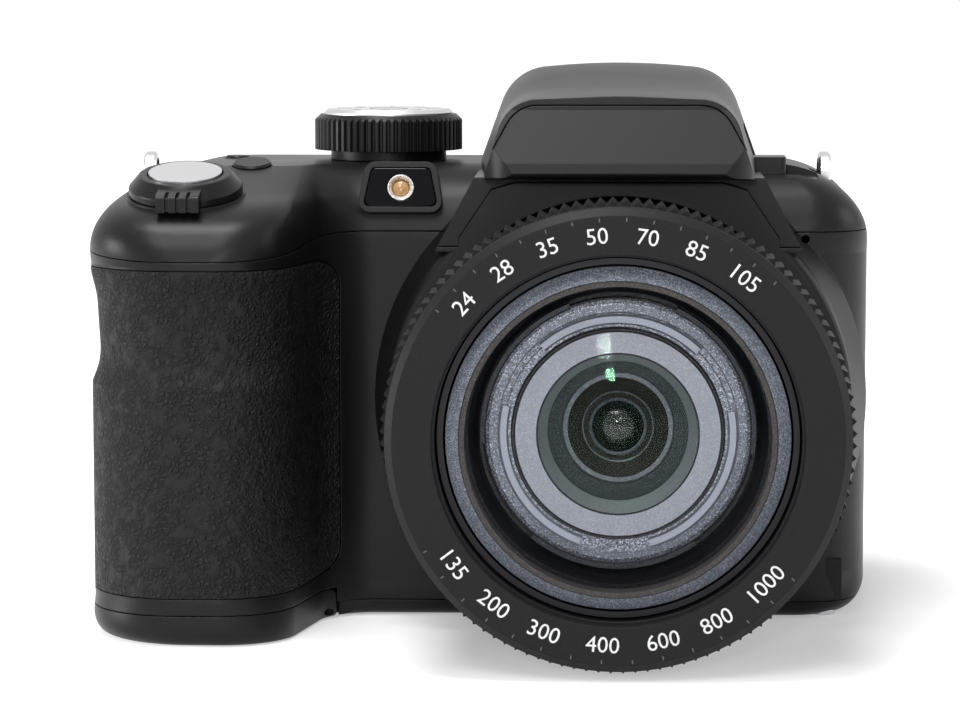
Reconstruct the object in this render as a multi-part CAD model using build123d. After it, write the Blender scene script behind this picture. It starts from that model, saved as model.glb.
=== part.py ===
from build123d import *
import math
import os

os.makedirs("parts", exist_ok=True)

# Frame: millimetres, +Z up, the lens points to -Y. The origin is the mouth of the tripod socket, below
# the lens axis. A value named forward is a distance towards -Y.

# Fits
overrun = 5.0
seam_half_gap = 0.08
slip = 0.3
button_gap = 0.25
running_fit = 0.05
seat_gap = 0.15

# Casing
body_left = 79.4
body_right = 38.8
body_front = 19.5
body_back = 19.5
body_top = 70.0
wall = 1.8
left_top_round = 12.0
right_top_round = 12.0
front_top_round = 11.0
back_top_round = 4.0
shoulder_spread = 1.3
left_foot_round = 3.5
right_foot_round = 6.0
front_foot_round = 3.0
back_foot_round = 3.0
grip_foot_round = 2.5
upright_low = 7.0
head_drop = 13.5
upright_high = body_top - head_drop
back_corner_round = 6.0
side_bow = 2.5
side_bow_share = 0.3
side_bow_round = 30.0
front_corner_round = 12.0
lens_side = 42.0

# Grip
grip_front = 47.0
grip_flank_outer = 50.5
grip_flank_inner = 44.5
grip_outer_round = 14.5
grip_inner_round = 12.5
grip_root_round = 9.0
head_start = body_top - head_drop
head_round = 8.5
head_tilt = 13.0
skin_depth = 1.8
skin_low = 7.4
skin_drop = 14.0
skin_high = body_top - skin_drop
skin_edge = 43.0
skin_back = 4.0
skin_corner = 4.0
waist = 1.0
ledge_z = 38.5
finger_groove = 1.5
groove_shares = ((0, 0), (0.06, 0.35), (0.15, 0.8), (0.35, 1), (0.6, 0.8), (0.85, 0.3), (1, 0))

# Seams between the covers
top_cover_height = 9.9
top_seam = body_top - top_cover_height
top_seam_drop = 2.7
rear_seam = 9.0
base_seam = 2.6
door_seam = 4.8
door_edge = 43.5
tongue_low_half = 24.0
tongue_high_half = 19.1
tongue_crown_half = 15.5
tongue_bend_drop = 2.6
tongue_drop = 1.5
tongue_high = body_top - tongue_drop

# Lens
lens_z = 34.3
ring_front = 70.0
ring_lip = 2.2
ring_opening = 26.3
ring_face = 31.8
ring_shoulder = 32.9
ring_bevel = 1.2
tooth_tip = 33.7
tooth_root = 32.8
tooth_count = 120
tooth_length = 8.5
ring_back = 57.5
ring_wall = 1.2
tube_wall = 2.3
tube_lip_length = 2.8
tube_back = 17.4
tube_floor = 2.0
housing_radius = 23.8
housing_wall = 1.5
housing_back = -3.5
web_front = 4.0
web_thickness = 2.0
outer_barrel_radius = 25.6
outer_barrel_wall = 0.85
outer_barrel_front = 66.0
outer_barrel_back = 23.0
barrel_flange = 3.0
outer_travel = 24.0
inner_barrel_radius = 24.4
inner_barrel_wall = 1.5
inner_barrel_front = 64.5
inner_barrel_back = 25.0
inner_travel = 22.0
rim_outer_front = 66.0
rim_front = 68.0
rim_inner = 22.4
rim_bore = 21.7
front_lens_clear = 21.5
front_lens_edge = 1.8
front_lens_curve = 80.0
front_lens_back_curve = 90.0
funnel_steps = ((21.4, 0), (20.7, 3.6), (20.0, 5.2), (19.5, 5.2), (19.3, 4.2), (17.4, 3.8), (17.2, 3.0),
                (16.4, 3.0), (16.3, 2.3), (15.6, 2.3))
funnel_bore = 15.2
funnel_back = 55.6
funnel_shelf = 57.4
shelf_bore = 13.4
barrel_ledge = 1.6
barrel_ledge_bore = 20.0
second_face = 61.2
second_flat_outer = 14.7
second_flat_inner = 11.5
second_bevel_inner = 10.1
second_bevel_back = 57.6
second_lens_radius = 10.6
second_lens_edge = 1.8
second_lens_curve = 48.0
second_back = 54.4
third_ring_outer = 8.1
third_ring_inner = 7.2
third_ring_front = 53.6
third_cone_inner = 4.9
third_cone_back = 52.4
third_bore = 4.0
third_back = 50.0
third_outer = 13.0
third_lens_curve = 5.2
rear_lens_radius = 12.0
rear_lens_edge = 3.0
rear_lens_curve = 28.0
sensor_width = 12.0
sensor_height = 10.0
sensor_depth = 1.6
plate_width = 42.0
plate_height = 38.0
board_thickness = 1.2

# Shroud that rises from the front cover round the lens
shroud_front = 33.0
shroud_radius = 35.3
shroud_flare = 38.3
shroud_flare_root = 17.5
shroud_flare_forward = 26.0
shroud_root = 10.0
shroud_lip = 1.2
shroud_clip = 0.4

# Hump
hump_half = 21.9
hump_foot_rise = 0.2
hump_waist = body_top + hump_foot_rise
saddle_drop = 12.0
hump_base = body_top - saddle_drop
saddle_top_drop = 0.8
hump_foot_half = 27.7
shoulder_half = 16.8
shoulder_rise = 14.4
shoulder_z = body_top + shoulder_rise
crown_rise = 1.5
crown_z = shoulder_z + crown_rise
shoulder_round = 8.0
crown_round = 110.0
hump_front_half = 19.4
shoulder_front_half = 16.6
shoulder_front_rise = 10.0
shoulder_front_z = body_top + shoulder_front_rise
shoulder_front_round = 6.0
crown_front_rise = 0.6
crown_front_z = shoulder_front_z + crown_front_rise
hump_corner_round = 6.0
hump_corner_room = 0.3
hump_rear_drop = 2.0
hump_edge_round = 1.5
hump_back = 16.5
hump_back_round = 6.0
plate_top_forward = 40.2
plate_low_forward = 44.6
visor_forward = 45.2
visor_drop = 0.2
visor_z = body_top - visor_drop
visor_round = 1.6
plate_top_rise = 9.6
plate_top_z = body_top + plate_top_rise
plate_low_rise = 1.9
plate_low_z = body_top + plate_low_rise
underside_drop = 1.1
hump_underside = body_top - underside_drop
root_drop = 5.0
hump_root = body_top - root_drop
saddle_half = 21.7
saddle_near = 6.0

# Flash
arch_half_low = 23.0
arch_half_high = 15.2
arch_rise = 9.8
arch_high = body_top + arch_rise
arch_rear_rise = 12.0
arch_rear_high = body_top + arch_rear_rise
arch_rear_half_low = 21.5
arch_rear_half_high = 14.0
arch_round = 5.0
arch_drop = 4.0
arch_low = body_top - arch_drop
lid_side_front_rise = 4.0
lid_side_front_z = body_top + lid_side_front_rise
lid_side_rear_rise = 10.2
lid_side_rear_z = body_top + lid_side_rear_rise
flash_hinge_y = 5.0
flash_hinge_rise = 10.5
flash_hinge_z = body_top + flash_hinge_rise
knuckle_radius = 5.0
knuckle_half = 8.4
flash_pin_radius = 1.0
flash_pin_half = 13.0
flash_angle = 50.0
flash_angle_room = 3.0
lid_sweep_room = 0.8
flash_box_half = 11.5
flash_well_half = 13.0
flash_well_front = 38.2
flash_well_back = 19.5
well_floor_rise = 0.6
flash_well_floor = body_top + well_floor_rise
flash_window_top = 36.4
flash_window_length = 10.5
flash_window_thickness = 1.2
reflector_back = 23.0
reflector_trough = 3.2
flash_tube_radius = 1.1
lid_underside_rise = 10.1
lid_underside = body_top + lid_underside_rise

# Flash release button
release_inner = 20.6
release_outer = 25.8
release_drop = 1.8
release_low = body_top - release_drop
release_height = 3.1
release_high = release_low + release_height
release_front = 13.6
release_back = 6.6
release_travel = 0.8
release_shelf = 2.0
release_margin = 1.4

# Controls on top
shutter_x = -65.0
shutter_y = -33.0
boss_radius = 8.9
boss_rise = 0.3
boss_depth = 3.0
lever_base_radius = 8.55
lever_top_radius = 6.9
lever_height = 2.9
lever_skirt = 1.0
tab_half = 3.2
tab_reach = 11.0
tab_height = 2.5
tab_groove = 0.5
tab_groove_depth = 0.5
tab_round = 0.6
shutter_radius = 5.5
shutter_lift = 0.45
shutter_dome = 45.0
shutter_stem = 1.9
stem_depth = 4.0
power_x = -56.7
power_y = -17.0
power_radius = 3.0
top_button_x = -61.3
top_button_y = 5.0
top_button_radius = 2.05
button_lift = 0.45
button_depth = 3.0
button_hole_depth = 4.0
button_round = 0.4
button_chamfer = 0.3
dial_x = -36.8
dial_y = 2.0
dial_radius = 11.75
dial_knurl = 0.45
dial_ridges = 62
dial_rise = 1.7
dial_low = body_top + dial_rise
dial_height = 5.6
dial_high = dial_low + dial_height
dial_neck = 9.2
dial_chamfer = 0.9
dial_cap_radius = 10.3
dial_cap_height = 0.8
dial_stem = 2.0
stem_drop = 5.0
dial_stem_low = body_top - stem_drop
switch_radius = 4.6
switch_drop = 7.0
switch_low = body_top - switch_drop

# Focus lamp
lamp_x = -33.6
lamp_drop = 3.1
lamp_z = body_top - lamp_drop
lamp_tilt = 16.0
pod_face = 19.3
pod_width_low = 13.4
pod_width_high = 10.9
pod_height = 8.0
pod_round = 1.8
pod_depth = 11.0
window_inset = 0.9
window_depth = 1.3
focus_lamp_radius = 2.3
focus_lamp_length = 5.0

# Strap lugs
lug_thickness = 2.0
lug_radius = 2.9
lug_hole = 1.5
lug_depth = 7.0
left_lug_x = -74.6
right_lug_x = 32.4
left_lug_drop = 1.6
left_lug_z = body_top - left_lug_drop
right_lug_drop = 1.4
right_lug_z = body_top - right_lug_drop
lug_y = 0.0
lug_scoop = 1.1
lug_side_room = 1.3
lug_rim_share = 0.2

# Back
screen_left = -31.5
screen_right = 34.5
screen_low = 7.3
screen_drop = 14.0
screen_high = body_top - screen_drop
screen_glass = 1.2
screen_round = 2.0
panel_margin = 1.5
panel_depth = 2.4
thumb_left = -74.5
thumb_right = -51.0
thumb_low = 33.5
thumb_drop = 13.8
thumb_high = body_top - thumb_drop
thumb_sunk = 1.2
thumb_proud = 1.3
thumb_round = 5.0
thumb_edge = 0.9
column_x = -38.0
record_drop = 18.5
record_z = body_top - record_drop
playback_z = 31.0
menu_z = 21.5
delete_z = 12.0
record_radius = 3.2
small_radius = 2.8
flange_extra = 0.7
flange_depth = 0.8
pad_x = -57.5
pad_z = 20.0
pad_radius = 9.4
pad_proud = 0.8
set_radius = 4.2
rear_button_proud = 0.6
pad_depth = 3.0
push_travel = 0.5

# Side
mic_x = 28.6
mic_drop = 1.1
mic_z = top_seam - mic_drop
mic_radius = 0.65
mic_depth = 3.0
trim_low = 38.0
trim_drop = 0.5
trim_high = top_seam - trim_drop
trim_width = 1.6
trim_proud = 0.6
trim_sunk = 0.6
port_back = 7.0
port_front = -5.45
port_low = 14.0
port_high = 36.0
port_thickness = 1.3
port_boss = 2.0
port_margin = 2.2
port_trunnion = 0.45
trunnion_length = 0.8
socket_length = 6.5
usb_width = 8.0
usb_height = 3.2
usb_mouth = 0.5
usb_z = 22.0

# Battery and card
battery_x = -63.0
battery_thickness = 16.0
battery_width = 38.0
battery_headroom = 20.0
battery_height = body_top - battery_headroom
battery_y = -17.0
holder_wall = 1.2
battery_gap = 0.3
card_x = -50.2
card_y = -6.5
card_width = 24.0
card_thickness = 2.1
card_height = 26.0
card_wall = 0.7
hinge_pin_radius = 0.6
hinge_knuckle = 1.1
hinge_ear = 3.0
hinge_ear_front = 14.2
hinge_ear_root = 1.0
pin_x = -door_edge - seam_half_gap - hinge_knuckle
pin_z = hinge_knuckle
ear_places = (-hinge_ear_front - hinge_ear, hinge_ear_front - hinge_ear / 2)
hinge_pin_half = hinge_ear_front + hinge_ear
latch_x = -70.0
latch_length = 8.0
latch_width = 7.0
latch_thickness = 1.7
latch_travel = 2.5
latch_y = 8.0
latch_sunk = 0.25
latch_rib = 0.5

# Inside
chassis_plate = 1.2
chassis_left = 38.5
chassis_right = 29.0
chassis_low = 10.0
chassis_drop = 13.0
chassis_high = body_top - chassis_drop
foot_half = 20.0
foot_low = 2.9
foot_back = 8.0
post_radius = 2.0
board_back = 8.2
motor_radius = 5.0
motor_length = 19.0
motor_x = 23.5
motor_z = 12.0
capacitor_radius = 4.5
capacitor_length = 22.0
capacitor_x = 29.3
capacitor_low = 26.0
can_chamfer = 0.5
boss_length = 6.5
boss_width = 4.6
screw_head = 1.9
screw_head_height = 1.2
screw_sunk = 0.2
screw_edge_room = 1.5
screw_shank = 0.9
screw_length = 6.0
screw_right = 32.0
screw_fit = 0.05

# Tripod socket: a quarter-inch, 20-turn thread, drawn at its inner wall
socket_bore = 2.55
socket_outer = 4.8
socket_depth = 5.5
socket_floor = 1.0
socket_flange = 6.4

tube_radius = tooth_root - ring_wall - 2 * running_fit
tube_clearance = tube_radius + 2 * slip


def block(x, y, z):
    """A box between the low and the high value of each pair."""
    size = [high - low for low, high in (x, y, z)]
    return Pos(x[0], y[0], z[0]) * Box(*size, align=(Align.MIN, Align.MIN, Align.MIN))


def post(radius, height):
    """A cylinder that stands on the origin."""
    return Cylinder(radius, height, align=(Align.CENTER, Align.CENTER, Align.MIN))


def rounded_outline(points, radii):
    return make_face(FilletPolyline(*points, radius=radii, close=True))


def across(outline, half_width):
    """A side view, in back-to-front and up, drawn out to both sides."""
    return extrude(Plane.YZ * outline, half_width, both=True)


def facing_front(outline, near, far):
    """A front view drawn out between two forward distances."""
    return extrude(Plane.XZ.offset(near) * outline, far - near)


def facing_back(outline, near, far):
    """A front view drawn out between two distances behind the origin."""
    return extrude(Plane.XZ.offset(-far) * outline, far - near)


def rounding(height, radius):
    """How far a quarter round has drawn in at a height above its start."""
    if height <= 0 or radius <= 0:
        return 0
    return radius - math.sqrt(radius**2 - min(height, radius) ** 2)


# Casing form


def side_inset(z, top_round, foot_round, inset, spread=1):
    top = rounding(z - body_top + top_round, top_round - inset)
    return inset + spread * top + rounding(foot_round - z, foot_round - inset)


def grip_reach(z, inset):
    """The forward reach of the grip: upright, then a round head, then the tilted shelf of the shutter."""
    turn = math.radians(90 - head_tilt)
    radius = head_round - inset
    rise = radius * math.sin(turn)
    if z - head_start > rise:
        crest = grip_front - head_round + radius * math.cos(turn)
        return crest - (z - head_start - rise) * math.tan(turn)
    round_in = rounding(z - head_start, radius) + rounding(grip_foot_round - z, grip_foot_round - inset)
    return grip_front - inset - round_in


def plan(z, inset=0, left_inset=0, grip_inset=0):
    """The outline of the body seen from above, at one height."""
    left = body_left - side_inset(z, left_top_round, left_foot_round, inset, shoulder_spread) - left_inset
    right = body_right - side_inset(z, right_top_round, right_foot_round, inset, shoulder_spread)
    front = body_front - side_inset(z, front_top_round, front_foot_round, inset)
    back = body_back - side_inset(z, back_top_round, back_foot_round, inset)
    reach = grip_reach(z, inset) - grip_inset
    top_share = max(z - head_start, 0) / (body_top - head_start)
    foot_share = max(upright_low - z, 0) / upright_low
    points = [
        (right, back),
        (side_bow - left, back),
        (-left, -side_bow_share * reach),
        (-left, -reach),
        (-grip_flank_outer - inset, -reach),
        (-grip_flank_inner - inset, -front),
        (right, -front),
    ]
    top_shares = (0.5, 0.5, 0.5, 0.66, 0.6, 0.15, 0.72)
    foot_shares = (0.34, 0.34, 0, 0.12, 0.12, 0, 0.42)
    corners = (back_corner_round, back_corner_round, side_bow_round, grip_outer_round, grip_inner_round,
               grip_root_round, front_corner_round)
    radii = [
        corner * (1 - top_share * drawn_top - foot_share * drawn_foot)
        for corner, drawn_top, drawn_foot in zip(corners, top_shares, foot_shares)
    ]
    return Plane.XY.offset(z) * rounded_outline(points, radii)


def body_form():
    foot_shares = (0, 0.06, 0.2, 0.43, 0.71, 1)
    head_shares = (0, 0.12, 0.3, 0.45, 0.6, 0.73, 0.83, 0.91, 0.96, 0.99, 1)
    foot = loft([plan(share * upright_low) for share in foot_shares])
    upright = extrude(plan(upright_low), upright_high - upright_low)
    head = loft([plan(upright_high + share * (body_top - upright_high)) for share in head_shares])
    return foot + upright + head


def cavity_form():
    """The hollow of the body on the lens side of the grip."""
    def outline(z):
        right = body_right - side_inset(z, right_top_round, right_foot_round, wall, shoulder_spread)
        front = body_front - side_inset(z, front_top_round, front_foot_round, wall)
        back = body_back - side_inset(z, back_top_round, back_foot_round, wall)
        points = [(right, back), (-lens_side, back), (-lens_side, -front), (right, -front)]
        corner = back_corner_round - wall
        return Plane.XY.offset(z) * rounded_outline(points, [corner, corner, corner, front_corner_round - wall])
    straight = body_top - right_top_round
    ceiling = body_top - wall
    rise = ceiling - straight
    heights = [wall, front_foot_round, upright_low, straight] + [straight + share * rise for share in (0.5, 0.8, 1)]
    return loft([outline(z) for z in heights], ruled=True)


def blend(front_value, rear_value, forward):
    """A value between the hump's widest section, at the origin, and its front."""
    share = max(forward, 0) / visor_forward
    return rear_value + (front_value - rear_value) * share


def hump_section(forward):
    """The hump seen from the front at one forward distance."""
    drop = hump_rear_drop * (max(-forward, 0) / hump_back) ** 2
    base = blend(hump_front_half, hump_half, forward)
    shoulder = blend(shoulder_front_half, shoulder_half, forward)
    shoulder_height = blend(shoulder_front_z, shoulder_z, forward) - drop
    points = [
        (-base, hump_root),
        (base, hump_root),
        (base, hump_waist),
        (shoulder, shoulder_height),
        (0, blend(crown_front_z, crown_z, forward) - drop),
        (-shoulder, shoulder_height),
        (-base, hump_waist),
    ]
    corner = blend(shoulder_front_round, shoulder_round, forward)
    radii = [0, 0, hump_edge_round, corner, crown_round, corner, hump_edge_round]
    return Plane.XZ.offset(forward) * rounded_outline(points, radii)


def hump_form():
    places = [-hump_back, -hump_back / 2, 0, visor_forward / 3, visor_forward * 2 / 3, visor_forward]
    whole = loft([hump_section(forward) for forward in places])
    side = [
        (hump_back, hump_root),
        (hump_back, crown_z),
        (-plate_top_forward, crown_z),
        (-plate_top_forward, plate_top_z),
        (-plate_low_forward, plate_low_z),
        (-visor_forward, visor_z),
        (-shroud_front, hump_underside),
        (-body_front, hump_underside),
        (-body_front, hump_root),
    ]
    radii = [0, hump_back_round, 0, 0, 0, visor_round / 2, 0, 0, 0]
    front_half, rear_half = hump_front_half + hump_corner_room, hump_half + hump_corner_room
    plan_points = [
        (-rear_half, overrun + hump_back),
        (-rear_half, 0),
        (-front_half, -visor_forward),
        (front_half, -visor_forward),
        (rear_half, 0),
        (rear_half, overrun + hump_back),
    ]
    seen_from_above = rounded_outline(plan_points, [0, 0, hump_corner_round, hump_corner_round, 0, 0])
    return whole & across(rounded_outline(side, radii), body_right) & extrude(seen_from_above, crown_z + overrun)


def shroud_form():
    """The collar round the lens, with a flared root and a rounded rim, cut flat at its foot."""
    bore = tube_clearance
    profile = [
        (bore, shroud_root),
        (shroud_flare, shroud_root),
        (shroud_flare, shroud_flare_root),
        (shroud_radius, shroud_flare_forward),
        (shroud_radius, shroud_front),
        (bore, shroud_front),
    ]
    outline = Plane.XZ * rounded_outline(profile, [0, 0, 0, shroud_radius / 5, shroud_lip, 0])
    ring = lens_plane * revolve(outline, Axis.Z)
    reach = shroud_front + overrun
    keep = block((-body_left, body_left), (-reach, reach), (shroud_clip, tongue_high))
    return ring & keep


def saddle_form():
    """The part of the front cover that carries the hump over the lens."""
    points = [
        (-hump_foot_half, hump_base),
        (hump_foot_half, hump_base),
        (saddle_half, body_top - saddle_top_drop),
        (-saddle_half, body_top - saddle_top_drop),
    ]
    return facing_front(make_face(Polyline(*points, close=True)), saddle_near, shroud_front)


def upper_zone(lift):
    """All that belongs to the top cover: above the tilted seam, but for the tongue under the hump."""
    reach = grip_front + overrun
    fall = top_seam_drop * (reach - body_front) / (grip_front - body_front)
    side = [
        (body_back + overrun, top_seam + lift),
        (-body_front, top_seam + lift),
        (-reach, top_seam - fall + lift),
        (-reach, crown_z + overrun),
        (body_back + overrun, crown_z + overrun),
    ]
    zone = across(make_face(Polyline(*side, close=True)), body_left + overrun)
    tongue = [
        (-tongue_low_half, top_seam - overrun),
        (tongue_low_half, top_seam - overrun),
        (tongue_low_half, top_seam + lift),
        (tongue_high_half, body_top - tongue_bend_drop + lift),
        (tongue_crown_half, tongue_high + lift),
        (-tongue_crown_half, tongue_high + lift),
        (-tongue_high_half, body_top - tongue_bend_drop + lift),
        (-tongue_low_half, top_seam + lift),
    ]
    outline = make_face(Polyline(*tongue, close=True))
    return zone - facing_front(outline, body_front - wall, shroud_front + overrun)


def arch_form(grow):
    """The fixed inside of the hump that the flash lid closes over."""
    def section(forward, half_low, half_high, high):
        points = [
            (-half_low - grow, arch_low),
            (half_low + grow, arch_low),
            (half_high + grow, high + grow),
            (-half_high - grow, high + grow),
        ]
        radii = [0, 0, arch_round + grow, arch_round + grow]
        return Plane.XZ.offset(forward) * rounded_outline(points, radii)
    front = section(visor_forward + overrun, arch_half_low, arch_half_high, arch_high)
    rear = section(-flash_hinge_y - overrun, arch_rear_half_low, arch_rear_half_high, arch_rear_high)
    return loft([front, rear], ruled=True)


def lid_wedge(grow):
    """The space above the slanted side seam of the flash lid, ahead of its hinge."""
    reach = visor_forward + overrun
    run = plate_top_forward + flash_hinge_y
    slope = (lid_side_rear_z - lid_side_front_z) / run
    low = lid_side_front_z - slope * (reach - plate_top_forward) - grow
    side = [
        (-reach, low),
        (flash_hinge_y, lid_side_rear_z - grow),
        (flash_hinge_y, crown_z + overrun),
        (-reach, crown_z + overrun),
    ]
    return across(make_face(Polyline(*side, close=True)), body_right)


def knuckle(radius, low_x, high_x):
    """A cylinder on the hinge axis of the flash lid."""
    axis = Plane(origin=(low_x, flash_hinge_y, flash_hinge_z), x_dir=(0, 1, 0), z_dir=(1, 0, 0))
    return axis * post(radius, high_x - low_x)


def outer_knuckles(radius, inner):
    return knuckle(radius, inner, body_right) + knuckle(radius, -body_right, -inner)


def lid_sweep():
    """The room behind the hinge that the rear of the flash lid turns through."""
    high = crown_z + overrun
    reach = (high - flash_hinge_z) * math.tan(math.radians(flash_angle + flash_angle_room))
    side = [(flash_hinge_y, flash_hinge_z), (flash_hinge_y + reach, high), (flash_hinge_y, high)]
    sector = across(make_face(Polyline(*side, close=True)), body_right)
    return sector & knuckle(knuckle_radius + lid_sweep_room, -body_right, body_right)


def head_z(forward):
    """The height of the tilted shelf round the shutter at a forward distance."""
    turn = math.radians(90 - head_tilt)
    crest = grip_front - head_round + head_round * math.cos(turn)
    return head_start + head_round * math.sin(turn) + (crest - forward) / math.tan(turn)


def head_plane(x, y):
    tilt = math.radians(head_tilt)
    return Plane(origin=(x, y, head_z(-y)), x_dir=(1, 0, 0), z_dir=(0, -math.sin(tilt), math.cos(tilt)))


lens_plane = Plane(origin=(0, 0, lens_z), x_dir=(1, 0, 0), z_dir=(0, -1, 0))
shutter_plane = head_plane(shutter_x, shutter_y)
power_plane = head_plane(power_x, power_y)
top_button_plane = Plane(origin=(top_button_x, top_button_y, body_top))
dial_plane = Plane(origin=(dial_x, dial_y, 0))
lamp_slope = math.radians(lamp_tilt)
lamp_plane = Plane(origin=(lamp_x, -pod_face, lamp_z), x_dir=(1, 0, 0),
                   z_dir=(0, -math.cos(lamp_slope), math.sin(lamp_slope)))


def back_plane(x, z):
    return Plane(origin=(x, body_back, z), x_dir=(-1, 0, 0), z_dir=(0, 1, 0))


def pod_outline(inset=0):
    low, high, half = pod_width_low / 2 - inset, pod_width_high / 2 - inset, pod_height / 2 - inset
    points = [(-low, -half), (low, -half), (high, half), (-high, half)]
    return rounded_outline(points, max(pod_round - inset, pod_round / 2))


def sunk(plane, shape, depth):
    """A shape that stands on the plane, moved down into it by a depth."""
    return plane * Pos(0, 0, -depth) * shape


def turned(*points):
    """A ring about the lens axis, from points of radius and forward distance."""
    outline = make_face(Polyline(*[(radius, 0, forward) for radius, forward in points], close=True))
    return lens_plane * revolve(outline, Axis.Z)


def lens_arc(reach, rim, curve):
    """The face of a lens from the axis to its clear edge. A face that is hollow to the front has curve < 0."""
    def rise(radius):
        return math.copysign(abs(curve) - math.sqrt(curve**2 - radius**2), curve)
    crown = rim + rise(reach)
    return ThreePointArc((0, 0, crown), (reach / 2, 0, crown - rise(reach / 2)), (reach, 0, rim))


def lens_piece(reach, edge, front, back, front_curve, back_curve):
    """A lens of a clear radius inside a flat edge, between two forward distances."""
    front_face = lens_arc(reach, front, front_curve)
    back_face = lens_arc(reach, back, back_curve)
    edges = [
        front_face,
        Polyline(front_face @ 1, (edge, 0, front), (edge, 0, back), back_face @ 1),
        back_face,
        Line(back_face @ 0, front_face @ 0),
    ]
    return lens_plane * revolve(make_face(Curve() + edges), Axis.Z)


def toothed_disc(steps, count, height):
    """A disc with teeth, from shares of the pitch and the radius at each."""
    points = []
    for tooth in range(count):
        for share, radius in steps:
            turn = 2 * math.pi * (tooth + share) / count
            points.append((radius * math.cos(turn), radius * math.sin(turn)))
    return extrude(make_face(Polyline(*points, close=True)), height)


def button(radius, depth, proud):
    """A round button from a depth below its surface to a height above it, with a broken rim."""
    cap = Pos(0, 0, -depth) * post(radius, depth + proud)
    rim = cap.edges().filter_by(GeomType.CIRCLE).sort_by(Axis.Z)[-1]
    return chamfer(rim, button_chamfer)


def save(name, shape):
    solids = shape.solids()
    export_step(solids[0] if len(solids) == 1 else Compound(children=list(solids)), f"parts/{name}.step")


# Lens


def lens_ring():
    """The toothed ring on the front of the tube, with a flat face and a bevel."""
    sleeve = tooth_root - ring_wall
    back = ring_front - ring_lip
    body = turned(
        (ring_opening, ring_front),
        (ring_face, ring_front),
        (ring_shoulder, ring_front - ring_bevel),
        (ring_shoulder, back),
        (tooth_root, back),
        (tooth_root, ring_back),
        (sleeve, ring_back),
        (sleeve, back),
        (ring_opening, back),
    )
    teeth = toothed_disc(((0, tooth_root), (0.5, tooth_tip)), tooth_count, tooth_length)
    band = sunk(lens_plane, teeth, -ring_back) - sunk(lens_plane, post(sleeve, tooth_length), -ring_back)
    return body + band


def lens_tube():
    """The fixed tube that the barrels slide in, and the narrower housing behind it."""
    front = ring_front - ring_lip
    inner = tube_radius - tube_wall
    lip = outer_barrel_radius + slip
    bore = housing_radius - housing_wall
    lens_seat = rear_lens_radius + running_fit
    return turned(
        (lip, front),
        (tube_radius, front),
        (tube_radius, tube_back),
        (housing_radius, tube_back),
        (housing_radius, housing_back),
        (bore, housing_back),
        (bore, web_front - web_thickness),
        (lens_seat, web_front - web_thickness),
        (lens_seat, web_front),
        (bore, web_front),
        (bore, tube_back + tube_floor),
        (inner, tube_back + tube_floor),
        (inner, front - tube_lip_length),
        (lip, front - tube_lip_length),
    )


def outer_barrel():
    flange = tube_radius - tube_wall - slip
    inner = outer_barrel_radius - outer_barrel_wall
    return turned(
        (inner, outer_barrel_front),
        (outer_barrel_radius, outer_barrel_front),
        (outer_barrel_radius, outer_barrel_back + barrel_flange),
        (flange, outer_barrel_back + barrel_flange),
        (flange, outer_barrel_back),
        (inner, outer_barrel_back),
    )


inner_bore = inner_barrel_radius - inner_barrel_wall
lens_edge_front = inner_barrel_front - seat_gap
lens_edge_back = lens_edge_front - front_lens_edge


def inner_barrel():
    return turned(
        (inner_bore, inner_barrel_front),
        (inner_barrel_radius, inner_barrel_front),
        (inner_barrel_radius, inner_barrel_back),
        (inner_bore, inner_barrel_back),
        (inner_bore, funnel_back - barrel_ledge),
        (barrel_ledge_bore, funnel_back - barrel_ledge),
        (barrel_ledge_bore, funnel_back),
        (inner_bore, funnel_back),
    )


def rim_ring():
    """The bevelled ring that holds the front lens from ahead."""
    return turned(
        (inner_barrel_radius, inner_barrel_front),
        (inner_barrel_radius, rim_outer_front),
        (rim_inner, rim_front),
        (rim_bore, rim_front),
        (rim_bore, inner_barrel_front),
    )


def front_lens():
    edge = inner_bore - seat_gap
    return lens_piece(front_lens_clear, edge, lens_edge_front, lens_edge_back, front_lens_curve,
                      front_lens_back_curve)


def lens_funnel():
    """The stepped ring behind the front lens, with the shelf that carries the second group."""
    front = lens_edge_back - seat_gap
    steps = [(radius, front - depth) for radius, depth in funnel_steps]
    edge = inner_bore - seat_gap
    return turned(
        (edge, front),
        *steps,
        (funnel_bore, steps[-1][1]),
        (funnel_bore, funnel_shelf),
        (shelf_bore, funnel_shelf),
        (shelf_bore, funnel_back),
        (edge, funnel_back),
    )


def second_frame():
    """The flat ring and bevel round the second lens, seated on the funnel's shelf."""
    seat = second_lens_radius + running_fit
    hub = shelf_bore - seat_gap
    return turned(
        (second_flat_inner, second_face),
        (second_flat_outer, second_face),
        (second_flat_outer, funnel_shelf),
        (hub, funnel_shelf),
        (hub, second_back),
        (seat, second_back),
        (seat, second_bevel_back - seat_gap),
        (second_bevel_inner, second_bevel_back - seat_gap),
        (second_bevel_inner, second_bevel_back),
    )


def second_lens():
    front = second_bevel_back - 2 * seat_gap
    return lens_piece(second_bevel_inner - second_lens_edge / 2, second_lens_radius, front - second_lens_edge / 2,
                      front - second_lens_edge * 3 / 2, second_lens_curve, second_lens_curve)


def third_frame():
    """The ring and black cone round the small third lens, behind the second group."""
    return turned(
        (third_ring_outer, third_ring_front),
        (third_ring_inner, third_ring_front),
        (third_cone_inner, third_cone_back),
        (third_bore, third_cone_back),
        (third_bore, third_back),
        (third_outer, third_back),
        (third_outer, second_back),
        (third_ring_outer + seat_gap, second_back - slip),
    )


def third_lens():
    edge = third_bore - running_fit
    return lens_piece(edge - seat_gap, edge, third_cone_back - slip, third_back + slip, third_lens_curve,
                      -third_lens_curve * 2)


def rear_lens():
    middle = web_front - web_thickness / 2
    reach = rear_lens_radius - seat_gap
    return lens_piece(reach, rear_lens_radius, middle + rear_lens_edge / 2, middle - rear_lens_edge / 2,
                      rear_lens_curve, -rear_lens_curve)


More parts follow.
